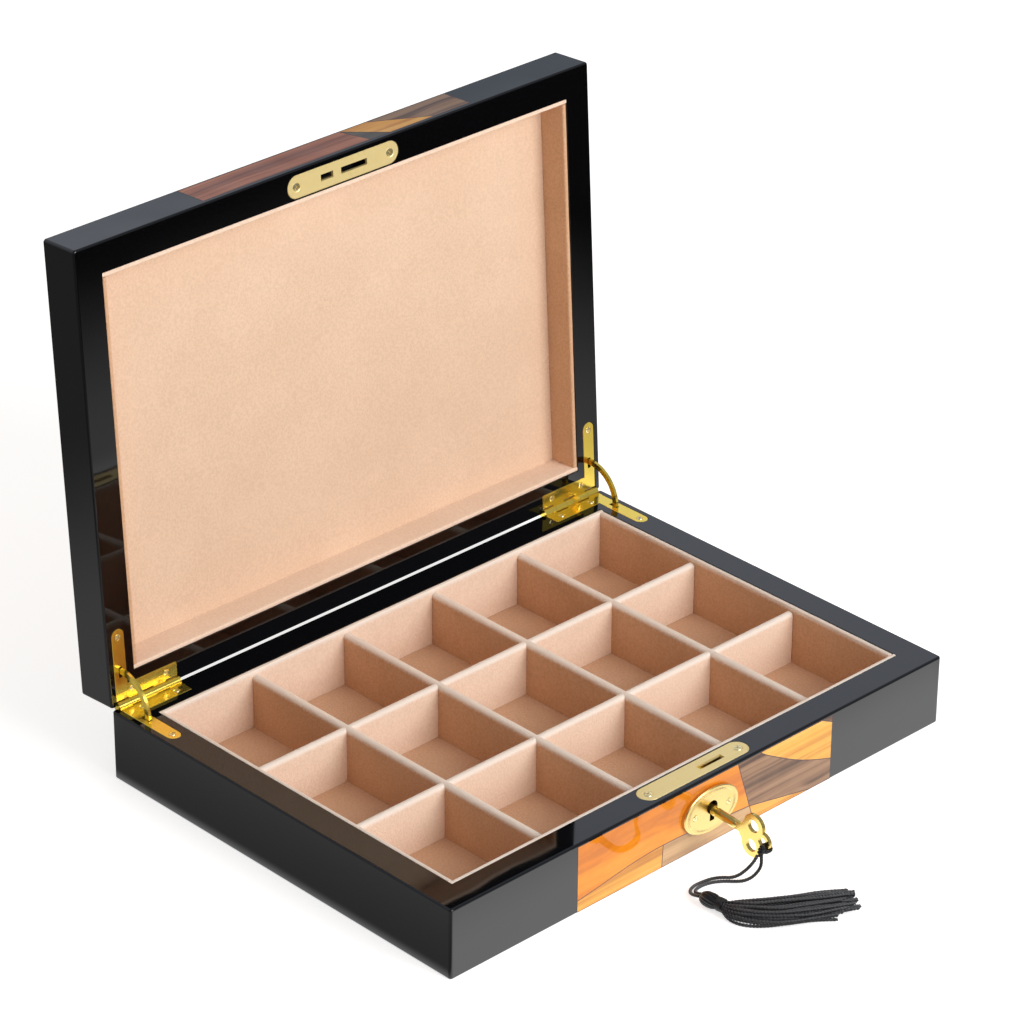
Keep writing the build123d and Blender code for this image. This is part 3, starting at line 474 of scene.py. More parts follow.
def twistedLines(points, plies, offset, pitch, phase=0.0):
    # the centre lines of plies wound round a path
    heading = (points[1] - points[0]).normalized()
    side = heading.orthogonal().normalized()
    lines = [[] for ply in range(plies)]
    travelled = 0.0
    for index, point in enumerate(points):
        if index:
            travelled += (point - points[index - 1]).length
        after = points[min(index + 1, len(points) - 1)]
        before = points[max(index - 1, 0)]
        heading = (after - before).normalized()
        side = (side - heading * side.dot(heading)).normalized()
        other = heading.cross(side)
        for ply in range(plies):
            angle = phase + 2 * math.pi * (travelled / pitch + ply / plies)
            lines[ply].append(point + (side * math.cos(angle) + other * math.sin(angle)) * offset)
    return lines


def tubeMesh(name, lines, radius, roundness=1, taper=None):
    # round tubes with capped ends along lines of points
    curve = bpy.data.curves.new(name, "CURVE")
    curve.dimensions = "3D"
    curve.bevel_depth = radius
    curve.bevel_resolution = roundness
    curve.use_fill_caps = True
    for line in lines:
        spline = curve.splines.new("POLY")
        spline.points.add(len(line) - 1)
        for index, (control, point) in enumerate(zip(spline.points, line)):
            control.co = (*point, 1)
            control.radius = taper(index / (len(line) - 1)) if taper else 1.0
    holder = bpy.data.objects.new(name, curve)
    mesh = bpy.data.meshes.new_from_object(holder)
    bpy.data.objects.remove(holder)
    bpy.data.curves.remove(curve)
    for face in mesh.polygons:
        face.use_smooth = True
    return mesh


def crestMarks(centres, lines, offset):
    # each ply's points, with how near to the top of its strand they lie
    return [(point, (point.z - centre.z) / offset)
            for line in lines for centre, point in zip(centres, line)]


def paintCrestHighlights(mesh, marks, values):
    # the painted highlight: each vertex takes how near its ply point lies to the top of the strand
    tree = kdtree.KDTree(len(marks))
    for index, (point, height) in enumerate(marks):
        tree.insert(point, index)
    tree.balance()
    crest = mesh.attributes.new("crest", "FLOAT", "POINT")
    for vertex, value in zip(mesh.vertices, crest.data):
        height = marks[tree.find(vertex.co)[1]][1]
        share = (height - values["crestLow"]) / (values["crestHigh"] - values["crestLow"])
        value.value = min(1.0, max(0.0, share))


# ---- tassel cords: loose from the knot at the key to the head that lies on the table
tasselCord = {
    "diameter": 0.0016, "plies": 3, "plyRadius": 0.00043, "offset": 0.00037, "pitch": 0.0036,
    "crestLow": 0.3, "crestHigh": 1.1,
    "routeA": [
        (-0.0029, -0.1410, 0.0116), (-0.0047, -0.1413, 0.0102), (-0.0068, -0.1409, 0.0082),
        (-0.0094, -0.1398, 0.0059), (-0.0118, -0.1384, 0.0041), (-0.0140, -0.1362, 0.0030),
        (-0.0159, -0.1331, 0.0026), (-0.0185, -0.1298, 0.0016), (-0.0227, -0.1281, 0.0009),
        (-0.0274, -0.1277, 0.0009), (-0.0317, -0.1292, 0.0010), (-0.0344, -0.1331, 0.0020),
        (-0.0348, -0.1380, 0.0039)],
    "routeB": [
        (-0.0022, -0.1426, 0.0115), (-0.0030, -0.1435, 0.0097), (-0.0039, -0.1439, 0.0074),
        (-0.0057, -0.1434, 0.0050), (-0.0080, -0.1422, 0.0029), (-0.0104, -0.1402, 0.0016),
        (-0.0125, -0.1374, 0.0010), (-0.0153, -0.1342, 0.0009), (-0.0192, -0.1314, 0.0009),
        (-0.0238, -0.1300, 0.0009), (-0.0280, -0.1300, 0.0009), (-0.0310, -0.1316, 0.0013),
        (-0.0322, -0.1345, 0.0024), (-0.0326, -0.1382, 0.0039)],
}


def layTasselCord(name, values, route, node):
    line = evenPoints(splinePoints([Vector(point) for point in route]), 0.0003)
    strands = twistedLines(line, values["plies"], values["offset"], values["pitch"])
    mesh = tubeMesh(name, strands, values["plyRadius"], 2)
    paintCrestHighlights(mesh, crestMarks(line, strands, values["offset"]), values)
    cord = newPiece(name, mesh, finishes["twistedSilk"], None, "tassel_silk", node)
    return cord, line


# ---- tassel head and skirt
tasselHead = {
    "start": (-0.0343, -0.1384, 0.0040), "end": (-0.0328, -0.1493, 0.0039), "ribs": 14,
    "ribDepth": 0.00022, "twist": 0.9,
    "profile": [
        (0.0, 0.0), (0.0, 0.0016), (0.0007, 0.0024), (0.0020, 0.00315), (0.0036, 0.0035),
        (0.0052, 0.00355), (0.0068, 0.0034), (0.0082, 0.0030), (0.0092, 0.0026), (0.0106, 0.0024),
        (0.0110, 0.0023), (0.0110, 0.0)],
    "windings": 4, "windRadius": 0.00042, "windFrom": 0.0088, "neckRadius": 0.00245,
}


def headFrame(values):
    start, end = Vector(values["start"]), Vector(values["end"])
    along = (end - start).normalized()
    across = along.cross(Vector((0, 0, 1))).normalized()
    up = across.cross(along)
    return Matrix.Translation(start) @ Matrix((across, up, along)).transposed().to_4x4()


def makeTasselHead(values):
    shape = bmesh.new()
    edge = []
    for station, radius in values["profile"]:
        edge.append(shape.verts.new((radius, 0, station)))
    for first, second in zip(edge, edge[1:]):
        shape.edges.new((first, second))
    bmesh.ops.spin(
        shape, geom=shape.verts[:] + shape.edges[:], cent=(0, 0, 0), axis=(0, 0, 1),
        angle=2 * math.pi, steps=84, use_merge=True, use_duplicate=False)
    bmesh.ops.remove_doubles(shape, verts=shape.verts, dist=1e-6)
    bmesh.ops.subdivide_edges(
        shape, edges=[edge for edge in shape.edges
                      if abs(edge.verts[0].co.z - edge.verts[1].co.z) > 0.0005],
        cuts=2, use_grid_fill=True)
    for vertex in shape.verts:
        reach = vertex.co.to_2d().length
        if reach > 0.001:
            angle = math.atan2(vertex.co.y, vertex.co.x)
            wave = math.cos(values["ribs"] * angle + vertex.co.z * values["ribs"] * 60 * values["twist"])
            vertex.co.xy *= 1 - values["ribDepth"] * (1 - wave) / reach
    mesh = meshFrom(shape, "tasselHead")
    turns = []
    steps = values["windings"] * 28
    for index in range(steps + 1):
        angle = 2 * math.pi * index / 28
        level = values["windFrom"] + values["windRadius"] * 1.9 * index / 28
        reach = values["neckRadius"] + values["windRadius"] * 0.7
        turns.append(Vector((reach * math.cos(angle), reach * math.sin(angle), level)))
    wound = bmesh.new()
    wound.from_mesh(mesh)
    wound.from_mesh(tubeMesh("neckWinding", [turns], values["windRadius"], 2))
    wound.transform(headFrame(values))
    lowest = min(vertex.co.z for vertex in wound.verts)
    if lowest < 0.0002:
        bmesh.ops.translate(wound, verts=wound.verts, vec=(0, 0, 0.0002 - lowest))
    wound.to_mesh(mesh)
    wound.free()
    for face in mesh.polygons:
        face.use_smooth = True
    return newPiece("tasselHead", mesh, finishes["tassel_silk"], "tassel", "tassel_silk", "tassel_head")


# stations: centre x, y, half width, half height, in metres, as the skirt's solid has them
tasselSkirt = {
    "stations": [
        (-0.0331, -0.1480, 0.0019, 0.0019), (-0.0326, -0.1508, 0.0036, 0.0027),
        (-0.0314, -0.1545, 0.0062, 0.0033), (-0.0272, -0.1615, 0.0086, 0.0036),
        (-0.0196, -0.1682, 0.0102, 0.0036), (-0.0094, -0.1737, 0.0106, 0.0034),
        (0.0024, -0.1792, 0.0104, 0.0030), (0.0122, -0.1830, 0.0094, 0.0023),
        (0.0156, -0.1843, 0.0092, 0.0021)],
    "strands": 42, "ply": 0.00041, "offset": 0.00043, "pitch": 0.0030, "lift": 0.0003,
    "thin": 0.55, "gather": 0.2, "crestLow": 0.30, "crestHigh": 1.0,
    "stray": [
        (-0.0334, -0.1483, 0.0032), (-0.0348, -0.1518, 0.0020), (-0.0356, -0.1562, 0.0011),
        (-0.0346, -0.1616, 0.0009), (-0.0314, -0.1664, 0.0009), (-0.0264, -0.1707, 0.0009),
        (-0.0199, -0.1745, 0.0009), (-0.0130, -0.1783, 0.0009), (-0.0070, -0.1824, 0.0009),
        (-0.0021, -0.1867, 0.0009)],
}


def makeTasselSkirt(values):
    stations = values["stations"]
    girth = values["ply"] + values["offset"]
    lines, marks = [], []
    for number in range(values["strands"]):
        # the strands fill the oval evenly
        spread = math.sqrt((number + 0.5) / values["strands"])
        angle = number * 2.39996 + random.uniform(-0.08, 0.08)
        drift = random.uniform(-0.16, 0.16)
        # the ones at the back reach further
        stop = random.uniform(-0.6, 0.5) - 0.6 * spread * math.cos(angle)
        route = []
        for index, (x, y, halfWidth, halfHeight) in enumerate(stations):
            before = stations[max(index - 1, 0)]
            after = stations[min(index + 1, len(stations) - 1)]
            heading = Vector((after[0] - before[0], after[1] - before[1], 0)).normalized()
            across = heading.cross(Vector((0, 0, 1)))
            share = index / (len(stations) - 1)
            here = angle + drift * share
            middle = 0.0039 if index == 0 else values["lift"] + halfHeight + 0.0006 * (1 - share)
            wide = (halfWidth - girth * 0.9) * spread * math.cos(here)
            high = (halfHeight - girth * 0.9) * spread * math.sin(here)
            wobble = 0.0016 * noise.noise(Vector((number * 3.7, index * 0.9, 0.0))) if index > 1 else 0
            route.append(Vector((x, y, 0)) + across * (wide + wobble) + Vector((0, 0, middle + high)))
        route[-1] = route[-2].lerp(route[-1], stop) if stop > 0 else route[-2].lerp(route[-3], -stop)
        if stop <= 0:
            route.pop(-2)
        line = evenPoints(splinePoints(route), 0.00032)
        plies = twistedLines(line, 2, values["offset"], values["pitch"], random.uniform(0, 6))
        marks += crestMarks(line, plies, values["offset"])
        lines += plies
    stray = evenPoints(splinePoints([Vector(point) for point in values["stray"]]), 0.00032)
    plies = twistedLines(stray, 2, values["offset"], values["pitch"])
    marks += crestMarks(stray, plies, values["offset"])
    lines += plies
    for line in lines:
        for point in line:
            point.z = max(point.z, values["ply"] + 0.0001)

    def girthAlong(share):
        return values["thin"] + (1 - values["thin"]) * min(1.0, share / values["gather"])

    mesh = tubeMesh("tasselSkirt", lines, values["ply"], 1, girthAlong)
    paintCrestHighlights(mesh, marks, values)
    return newPiece("tasselSkirt", mesh, finishes["twistedSilk"], "tassel", "tassel_silk", "tassel_skirt")


headPiece = makeTasselHead(tasselHead)
skirtPiece = makeTasselSkirt(tasselSkirt)
cordA, lineA = layTasselCord(
    "tasselCordA", tasselCord, tasselCord["routeA"], "tassel_cord_a")
cordB, lineB = layTasselCord("tasselCordB", tasselCord, tasselCord["routeB"], "tassel_cord_b")
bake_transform(cordA)
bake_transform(cordB)
print("tassel made")


# ---- knot: the cord loops round the end ring of the bow and is tied beside it
keyFrame = {"place": (0.0013, -0.0999, 0.0196), "droop": 4.6}
keyHitch = {
    "ring": 0.0405, "hole": 0.0022, "rim": 0.0042, "bowThickness": 0.0019, "lean": 45,
    "cordRadius": 0.0007, "ply": 0.00034, "offset": 0.00031, "pitch": 0.0028,
    "knotTop": (-0.0012, -0.1424, 0.0164), "knotFoot": (-0.0025, -0.1418, 0.0113),
    "knotTurns": 3, "knotRadius": 0.00095,
}


def keyMatrix(values):
    droop = math.radians(values["droop"])
    along = Vector((0, -math.cos(droop), -math.sin(droop)))
    across = Vector((-1, 0, 0))
    down = along.cross(across)
    return Matrix.Translation(values["place"]) @ Matrix((across, down, along)).transposed().to_4x4()


def makeKeyHitch(values):
    gap = 0.00005
    clear = values["cordRadius"] + gap
    lean = math.radians(values["lean"])
    outwards = Vector((0, math.cos(lean), math.sin(lean)))
    across = Vector((0, -math.sin(lean), math.cos(lean)))
    centre = Vector((0, 0, values["ring"]))
    inner = math.sqrt((values["hole"] - clear) ** 2 - clear ** 2)
    outer = values["rim"] + clear
    half = values["bowThickness"] / 2 + clear
    turn = keyMatrix(keyFrame)
    lines = []
    for side in (-1, 1):
        middle = centre + outwards * ((inner + outer) / 2) + across * side * (clear - gap / 2)
        loop = []
        for index in range(65):
            angle = 2 * math.pi * index / 64
            wide = math.copysign(abs(math.cos(angle)) ** 0.7, math.cos(angle)) * half
            long = math.copysign(abs(math.sin(angle)) ** 0.7, math.sin(angle)) * (outer - inner) / 2
            loop.append(turn @ (middle + Vector((1, 0, 0)) * wide + outwards * long))
        lines += twistedLines(loop, 3, values["offset"], values["pitch"])
    top, foot = Vector(values["knotTop"]), Vector(values["knotFoot"])
    axis = (foot - top).normalized()
    side = axis.orthogonal().normalized()
    other = axis.cross(side)
    wraps = []
    steps = values["knotTurns"] * 24
    for index in range(steps + 1):
        share = index / steps
        angle = 2 * math.pi * values["knotTurns"] * share
        reach = values["knotRadius"] * (0.8 + 0.35 * math.sin(math.pi * share))
        wraps.append(top.lerp(foot, 0.08 + 0.8 * share)
                     + (side * math.cos(angle) + other * math.sin(angle)) * reach)
    lines += twistedLines(wraps, 3, values["offset"], values["pitch"])
    mesh = tubeMesh("keyHitch", lines, values["ply"], 1)
    core = tubeMesh("knotCore", [[top, top.lerp(foot, 0.5), foot]], values["knotRadius"] * 0.9, 3)
    whole = bmesh.new()
    whole.from_mesh(mesh)
    whole.from_mesh(core)
    whole.to_mesh(mesh)
    whole.free()
    for face in mesh.polygons:
        face.use_smooth = True
    return newPiece("keyHitch", mesh, finishes["tassel_silk"], "key", "tassel_silk", "key_hitch")


makeKeyHitch(keyHitch)
print("knot made")


# ---- velvet boards
boards = {
    "round": 0.0009, "dividerRound": 0.0019, "ripple": 0.00007, "step": 0.006, "openTurn": -93.4,
    "crossDrop": 0.0003,
}


def velvetBoard(name, low, high, body, node, shade, radius, onLid=False, seed=0):
    shape = bmesh.new()
    bmesh.ops.create_cube(shape, size=1)
    low, high = Vector(low), Vector(high)
    bmesh.ops.scale(shape, verts=shape.verts, vec=high - low)
    bmesh.ops.translate(shape, verts=shape.verts, vec=(low + high) / 2)
    size = high - low
    if radius:
        towards = -1 if onLid else 1
        level = low.z if onLid else high.z
        along = 0 if size.x > size.y else 1
        edges = [edge for edge in shape.edges
                 if all(abs(vertex.co.z - level) < 1e-6 for vertex in edge.verts)
                 and abs(edge.verts[0].co[along] - edge.verts[1].co[along]) > 1e-4]
        bmesh.ops.bevel(
            shape, geom=edges, offset=radius, offset_type="OFFSET", segments=6, profile=0.5,
            affect="EDGES", material=-1, clamp_overlap=True)
    for axis in range(3):
        cuts = int(size[axis] / boards["step"])
        for cut in range(1, cuts):
            place = low[axis] + size[axis] * cut / cuts
            normal = [0, 0, 0]
            normal[axis] = 1
            point = [0, 0, 0]
            point[axis] = place
            bmesh.ops.bisect_plane(
                shape, geom=shape.verts[:] + shape.edges[:] + shape.faces[:], dist=1e-7,
                plane_co=point, plane_no=normal)
    shape.normal_update()
    for vertex in shape.verts:
        lump = noise.noise(vertex.co * 90 + Vector((seed * 5.3, 0, 0)))
        vertex.co += vertex.normal * (lump * boards["ripple"] - boards["ripple"])
    if onLid:
        bmesh.ops.rotate(
            shape, verts=shape.verts, cent=hingeAxis["place"],
            matrix=Matrix.Rotation(math.radians(boards["openTurn"]), 3, "X"))
    mesh = meshFrom(shape, name)
    board = newPiece(name, mesh, finishes[shade], body, "velvet", node)
    crease = board.modifiers.new("softEdges", "EDGE_SPLIT")
    crease.split_angle = math.radians(50)
    return board


trayNodes = [name for name in frame["nodes"] if name.startswith("tray_")]
for number, node in enumerate(sorted(trayNodes)):
    low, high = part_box(node)
    low, high = Vector(low), Vector(high)
    name = node.replace("_", " ").title().replace(" ", "")
    name = name[0].lower() + name[1:]
    if "cross" in node:
        high.z -= boards["crossDrop"]
    if "pad" in node:
        # the tray floors take a darker painted-shade copy of the velvet
        velvetBoard(name, low, high, "base", node, "velvetFloor", 0, seed=number)
        continue
    # boards running along x face the lamp and take the painted-light copy; boards running along y take the
    # painted-shade copy
    shade = "velvetAcross" if high.x - low.x > high.y - low.y else "velvetAlong"
    if "divider" in node:
        velvetBoard(name, low, high, "base", node, shade + "Divider", boards["dividerRound"], seed=number)
    else:
        velvetBoard(name, low, high, "base", node, shade + "Rim", boards["round"], seed=number)

# the lid's boards, as they lie when the lid is shut
lidBoards = {
    "lid_lining_panel": ((-0.1359, -0.0939, 0.0495), (0.1359, 0.0939, 0.0511), 0.0),
    "lid_lining_front": ((-0.1359, -0.0939, 0.0348), (0.1359, -0.0915, 0.0495), 0.0009),
    "lid_lining_back": ((-0.1359, 0.0915, 0.0348), (0.1359, 0.0939, 0.0495), 0.0009),
    "lid_lining_left": ((-0.1359, -0.0915, 0.0348), (-0.1335, 0.0915, 0.0495), 0.0009),
    "lid_lining_right": ((0.1335, -0.0915, 0.0348), (0.1359, 0.0915, 0.0495), 0.0009),
}
for number, (node, (low, high, radius)) in enumerate(lidBoards.items()):
    name = node.replace("_", " ").title().replace(" ", "")
    name = name[0].lower() + name[1:]
    shade = "velvetPad"
    if radius:
        # lid boards running along x take the painted-light copy; those along y take the painted-shade copy
        shade = "velvetAcross" if high[0] - low[0] > high[1] - low[1] else "velvetAlong"
    velvetBoard(name, low, high, "lid", node, shade, radius, onLid=True, seed=number + 20)
print("velvet boards made")


# thin dark lines of glue round every piece of veneer
seams = {"halfWidth": 0.00019, "proud": 0.00004}


def seamLines(name, nodes, body, faces):
    # faces: outward direction, and how far along it the shown surface lies
    whole = bmesh.new()
    for node in nodes:
        for towards, level in faces:
            outward = Vector(towards).normalized()
            strip = bmesh.new()
            strip.from_mesh(frame["nodes"][node].data)
            bmesh.ops.remove_doubles(strip, verts=strip.verts, dist=1e-6)
            strip.normal_update()
            hidden = [face for face in strip.faces if face.normal.dot(outward) < 0.99
                      or abs(face.calc_center_median().dot(outward) - level) > 0.0002]
            bmesh.ops.delete(strip, geom=hidden, context="FACES")
            if strip.faces:
                bmesh.ops.dissolve_limit(
                    strip, angle_limit=math.radians(1), verts=strip.verts[:], edges=strip.edges[:])
                ring = bmesh.ops.inset_region(
                    strip, faces=strip.faces[:], thickness=seams["halfWidth"], use_boundary=True,
                    use_even_offset=True)["faces"]
                bmesh.ops.delete(
                    strip, geom=[face for face in strip.faces if face not in ring], context="FACES")
                bmesh.ops.translate(strip, verts=strip.verts, vec=outward * seams["proud"])
                part = bpy.data.meshes.new("part")
                strip.to_mesh(part)
                whole.from_mesh(part)
                bpy.data.meshes.remove(part)
            strip.free()
    mesh = bpy.data.meshes.new(name)
    whole.to_mesh(mesh)
    whole.free()
    return newPiece(name, mesh, finishes["glue"], body, slotOf[nodes[0]])


def openedDirection(direction):
    return Matrix.Rotation(math.radians(-hingeAxis["openAngle"]), 3, "X") @ Vector(direction)


def openedLevel(direction, point):
    hinge = Vector(hingeAxis["place"])
    turn = Matrix.Rotation(math.radians(-hingeAxis["openAngle"]), 3, "X")
    return (hinge + turn @ (Vector(point) - hinge)).dot(turn @ Vector(direction))


veneerNodes = sorted(name for name in frame["nodes"] if "veneer" in name)
seamLines("baseSeams", [name for name in veneerNodes if name not in lidNodes], "base",
          [((0, -1, 0), 0.1081)])
seamLines("lidSeams", [name for name in veneerNodes if name in lidNodes], "lid", [
    (openedDirection((0, -1, 0)), openedLevel((0, -1, 0), (0, -0.1081, 0))),
    (openedDirection((0, 0, 1)), openedLevel((0, 0, 1), (0, 0, 0.0553)))])
print("seams made")


# ---- screws with a cross in the head
screw = {
    "headHeight": 0.0009, "shankRadius": 0.0008, "crossWidth": 0.00042, "crossDepth": 0.00055,
    "rim": 0.0342, "lidRim": 0.0346, "plateFace": -0.1101,
}
screwSets = {
    "hingeBaseScrews": {
        "node": "hinge_base_screws", "body": "base", "faces": "up", "head": 0.0017, "length": 0.0065,
        "dome": 0.00018, "places": [
            (-0.1183, 0.1021), (-0.1375, 0.1021), (-0.14335, 0.0750),
            (0.1183, 0.1021), (0.1375, 0.1021), (0.14335, 0.0750)]},
    "hingeLidScrews": {
        "node": "hinge_lid_screws", "body": "lid", "faces": "lid", "head": 0.0017, "length": 0.0065,
        "dome": 0.00018, "places": [
            (-0.1183, 0.1021), (-0.1375, 0.1021), (-0.14335, 0.0750),
            (0.1183, 0.1021), (0.1375, 0.1021), (0.14335, 0.0750)]},
    "lockPlateScrews": {
        "node": "lock_plate_screws", "body": "base", "faces": "up", "head": 0.0024, "length": 0.0065,
        "dome": 0.00014, "places": [(-0.0280, -0.0999), (0.0268, -0.0999)]},
    "keepPlateScrews": {
        "node": "keep_plate_screws", "body": "lid", "faces": "lid", "head": 0.0024, "length": 0.0065,
        "dome": 0.00014, "places": [(-0.0273, -0.0999), (0.0273, -0.0999)]},
    "escutcheonScrews": {
        "node": "escutcheon_screws", "body": "base", "faces": "front", "head": 0.0016,
        "length": 0.0056, "dome": 0.00020, "places": [(-0.0092, 0.0184), (0.0114, 0.0184)]},
}


def screwMesh(headRadius, length, dome, values):
    shape = bmesh.new()
    profile = [
        (0, dome), (headRadius * 0.5, dome * 0.85), (headRadius * 0.78, dome * 0.25),
        (headRadius * 0.86, -0.00018), (values["shankRadius"], -values["headHeight"]),
        (values["shankRadius"], -length + 0.0012), (0, -length)]
    edge = [shape.verts.new((radius, 0, level)) for radius, level in profile]
    for first, second in zip(edge, edge[1:]):
        shape.edges.new((first, second))
    bmesh.ops.spin(
        shape, geom=shape.verts[:] + shape.edges[:], cent=(0, 0, 0), axis=(0, 0, 1),
        angle=2 * math.pi, steps=32, use_merge=True, use_duplicate=False)
    bmesh.ops.remove_doubles(shape, verts=shape.verts, dist=1e-7)
    body = bpy.data.objects.new("screwBody", meshFrom(shape, "screwBody", False))
    bpy.context.collection.objects.link(body)
    cut = bmesh.new()
    reach = headRadius * 1.15
    for turn in (0, math.pi / 2):
        made = bmesh.ops.create_cube(cut, size=1)["verts"]
        bmesh.ops.scale(cut, verts=made, vec=(reach, values["crossWidth"], values["crossDepth"] * 2))
        bmesh.ops.rotate(cut, verts=made, matrix=Matrix.Rotation(turn, 3, "Z"))
    cutter = bpy.data.objects.new("crossCutter", meshFrom(cut, "crossCutter", False))
    bpy.context.collection.objects.link(cutter)
    carve = body.modifiers.new("cross", "BOOLEAN")
    carve.operation = "DIFFERENCE"
    carve.object = cutter
    carve.solver = "EXACT"
    carve.use_self = True
    graph = bpy.context.evaluated_depsgraph_get()
    mesh = bpy.data.meshes.new_from_object(body.evaluated_get(graph))
    bpy.data.objects.remove(body)
    bpy.data.objects.remove(cutter)
    return mesh


def setScrews(name, values):
    master = screwMesh(values["head"], values["length"], values["dome"], screw)
    whole = bmesh.new()
    tip = {"up": 0, "lid": math.pi, "front": math.pi / 2}[values["faces"]]
    for number, (x, other) in enumerate(values["places"]):
        one = bmesh.new()
        one.from_mesh(master)
        bmesh.ops.rotate(one, verts=one.verts, matrix=Matrix.Rotation(0.4 + number * 1.9, 3, "Z"))
        bmesh.ops.rotate(one, verts=one.verts, matrix=Matrix.Rotation(tip, 3, "X"))
        place = {
            "up": (x, other, screw["rim"]), "lid": (x, other, screw["lidRim"]),
            "front": (x, screw["plateFace"], other)}[values["faces"]]
        bmesh.ops.translate(one, verts=one.verts, vec=place)
        if values["faces"] == "lid":
            bmesh.ops.rotate(
                one, verts=one.verts, cent=hingeAxis["place"],
                matrix=Matrix.Rotation(math.radians(-hingeAxis["openAngle"]), 3, "X"))
        part = bpy.data.meshes.new("part")
        one.to_mesh(part)
        one.free()
        whole.from_mesh(part)
        bpy.data.meshes.remove(part)
    mesh = bpy.data.meshes.new(name)
    whole.to_mesh(mesh)
    whole.free()
    return newPiece(name, mesh, finishes["screwBrass"], values["body"], "brass", values["node"])


for name, values in screwSets.items():
    setScrews(name, values)
print("screws made")


# ---- floor, lights and surroundings
studio = {
    "floorColour": (0.93, 0.93, 0.93, 1), "floorGlow": 0.66, "skyLight": 0.37,
    "skyColour": (1.0, 0.95, 0.90, 1),
    "keyPlace": (0.32, -1.65, 0.94), "keyPower": 29.5, "keySize": 1.4,
    "footprint": (0.150, 0.108), "mirrorNear": 1.25, "mirrorFar": 0.56, "mirrorTop": 2.0,
    "leftNear": 0.15, "leftGlow": 0.32, "leftDip": 0.20,
}


def floorFinish(values):
    # polished faces see a painted reflection: the floor glows only for glossy rays, bright beside the box and
    # darker further out, with a painted shadow close to the box's left side
    finish = Finish("paleFloor")
    seen = finish.add("ShaderNodeLightPath", out="Is Camera Ray")
    mirrored = finish.add("ShaderNodeLightPath", out="Is Glossy Ray")
    through = finish.add("ShaderNodeLightPath", out="Is Transmission Ray")
    unlit = finish.add("ShaderNodeEmission", None, {"Color": (1, 1, 1, 1), "Strength": 0.0})
    lit = finish.add("ShaderNodeBsdfDiffuse", None, {"Color": values["floorColour"]})
    glow = finish.add("ShaderNodeEmission", None, {"Color": (1, 1, 1, 1), "Strength": values["floorGlow"]})
    glow = finish.add("ShaderNodeMixShader", None, {"Fac": seen + through, 1: unlit, 2: glow})
    both = finish.add("ShaderNodeAddShader", None, {0: lit, 1: glow})
    spot = {"Vector": finish.place()}
    across = finish.add("ShaderNodeSeparateXYZ", None, spot, "X")
    along = finish.add("ShaderNodeSeparateXYZ", None, spot, "Y")
    halfWidth, halfDepth = values["footprint"]
    beside = finish.add("ShaderNodeMath", {"operation": "MAXIMUM"}, {
        0: across.maths("ABSOLUTE", across, 0) - halfWidth,
        1: along.maths("ABSOLUTE", along, 0) - halfDepth})
    amount = (
        (1 - beside.within(0.015, 0.09)) * values["mirrorNear"]
        + (1 - beside.within(0.08, 0.34)) * values["mirrorFar"] + 0.02)
    # the box's left side sees a dimmer painted reflection, with a painted shadow dipping next to the box
    leftward = (
        (1 - beside.within(0.10, 0.28)) * values["leftGlow"]
        - (1 - beside.within(0.0, 0.06)) * values["leftDip"] + values["leftNear"])
    side = across.within(-halfWidth - 0.006, -halfWidth + 0.002)
    amount = (amount * side + leftward * (1 - side)) * (1 / values["mirrorTop"])
    card = finish.add("ShaderNodeEmission", None, {"Color": (1, 1, 1, 1), "Strength": values["mirrorTop"]})
    card = finish.add("ShaderNodeMixShader", None, {"Fac": amount, 1: unlit, 2: card})
    shown = finish.add("ShaderNodeMixShader", None, {"Fac": mirrored, 1: both, 2: card})
    finish.add("ShaderNodeOutputMaterial", None, {"Surface": shown})
    return finish.material


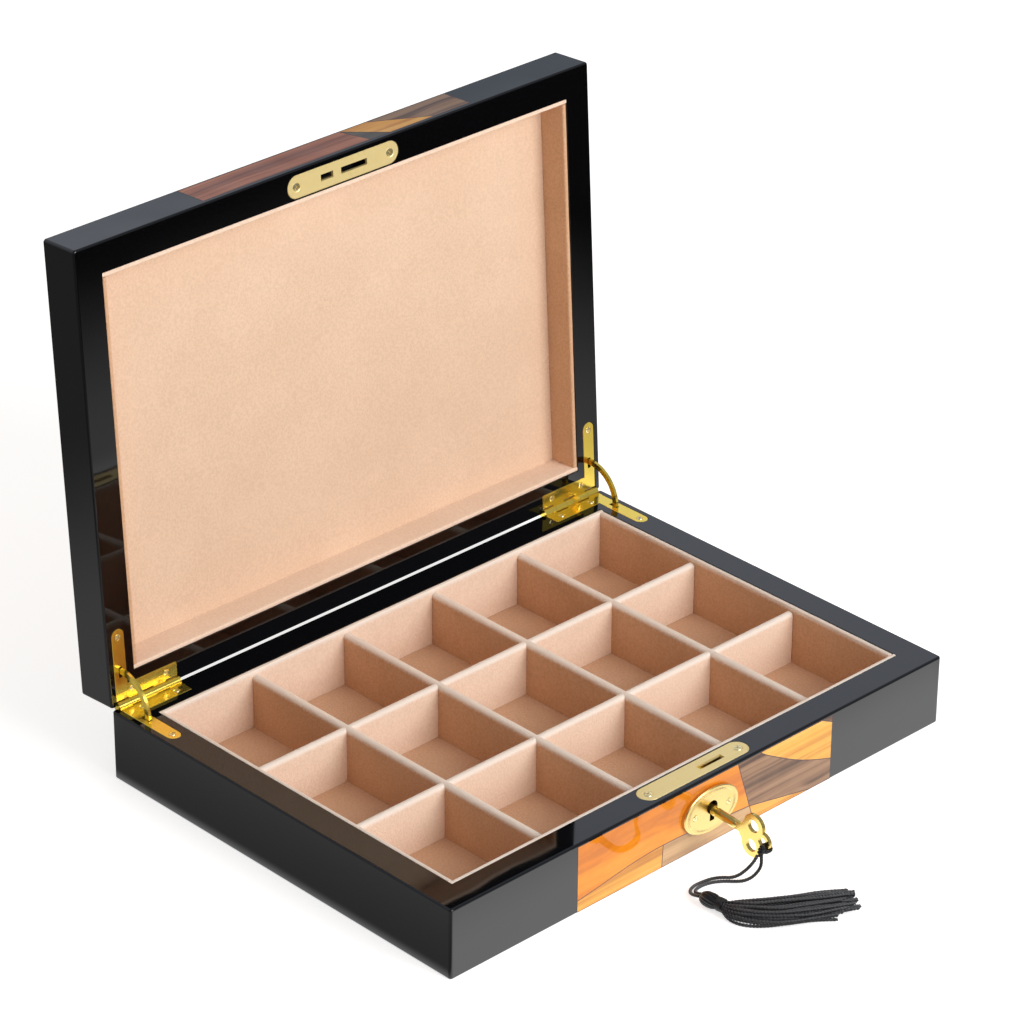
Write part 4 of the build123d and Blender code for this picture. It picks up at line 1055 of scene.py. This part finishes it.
def setStudio(values):
    shape = bmesh.new()
    bmesh.ops.create_grid(shape, x_segments=1, y_segments=1, size=4)
    floor = bpy.data.objects.new("floor", meshFrom(shape, "floor", False))
    bpy.context.collection.objects.link(floor)
    dress(floor, floorFinish(values))
    lamp = bpy.data.lights.new("keyLight", "AREA")
    lamp.energy = values["keyPower"]
    lamp.shape = "DISK"
    lamp.size = values["keySize"]
    holder = bpy.data.objects.new("keyLight", lamp)
    holder.location = values["keyPlace"]
    aim = Vector((0, 0, 0.05)) - Vector(values["keyPlace"])
    holder.rotation_euler = aim.to_track_quat("-Z", "Y").to_euler()
    bpy.context.collection.objects.link(holder)
    world = bpy.data.worlds.new("studio")
    bpy.context.scene.world = world
    world.use_nodes = True
    sky = Finish("studio", world.node_tree)
    seen = sky.add("ShaderNodeLightPath", out="Is Camera Ray")
    mirrored = sky.add("ShaderNodeLightPath", out="Is Glossy Ray")
    through = sky.add("ShaderNodeLightPath", out="Is Transmission Ray")
    heading = {"Vector": sky.add("ShaderNodeTexCoord", out="Generated")}
    up = sky.add("ShaderNodeSeparateXYZ", None, heading, "Z")
    away = sky.add("ShaderNodeSeparateXYZ", None, heading, "X")
    tint = sky.ramp(
        up, (0.0, (1.0, 1.0, 1.0)), (0.20, (0.62, 0.66, 0.72)), (0.305, (0.38, 0.44, 0.52)),
        (0.35, (0.80, 0.84, 0.94)), (0.50, (0.76, 0.81, 0.92)), (0.75, (0.40, 0.43, 0.48)),
        (1.0, (0.22, 0.24, 0.27)))
    front = 1 - sky.add("ShaderNodeSeparateXYZ", None, heading, "Y").within(-0.55, -0.1)
    tint = sky.mixed(front * 0.65, tint, (0.10, 0.11, 0.14, 1))
    dark = 1 - away.within(-0.8, -0.25)
    tint = sky.mixed(dark * 0.7, tint, (0.12, 0.14, 0.18, 1))
    light = sky.add("ShaderNodeBackground", None, {
        "Color": values["skyColour"], "Strength": values["skyLight"]})
    mirror = sky.add("ShaderNodeBackground", None, {"Color": tint, "Strength": 1.0})
    white = sky.add("ShaderNodeBackground", None, {"Color": (1, 1, 1, 1), "Strength": 1.0})
    first = sky.add("ShaderNodeMixShader", None, {"Fac": mirrored + through, 1: light, 2: mirror})
    last = sky.add("ShaderNodeMixShader", None, {"Fac": seen, 1: first, 2: white})
    sky.add("ShaderNodeOutputWorld", None, {"Surface": last})
    bpy.context.scene.view_settings.view_transform = "Standard"


setStudio(studio)
print("studio set")
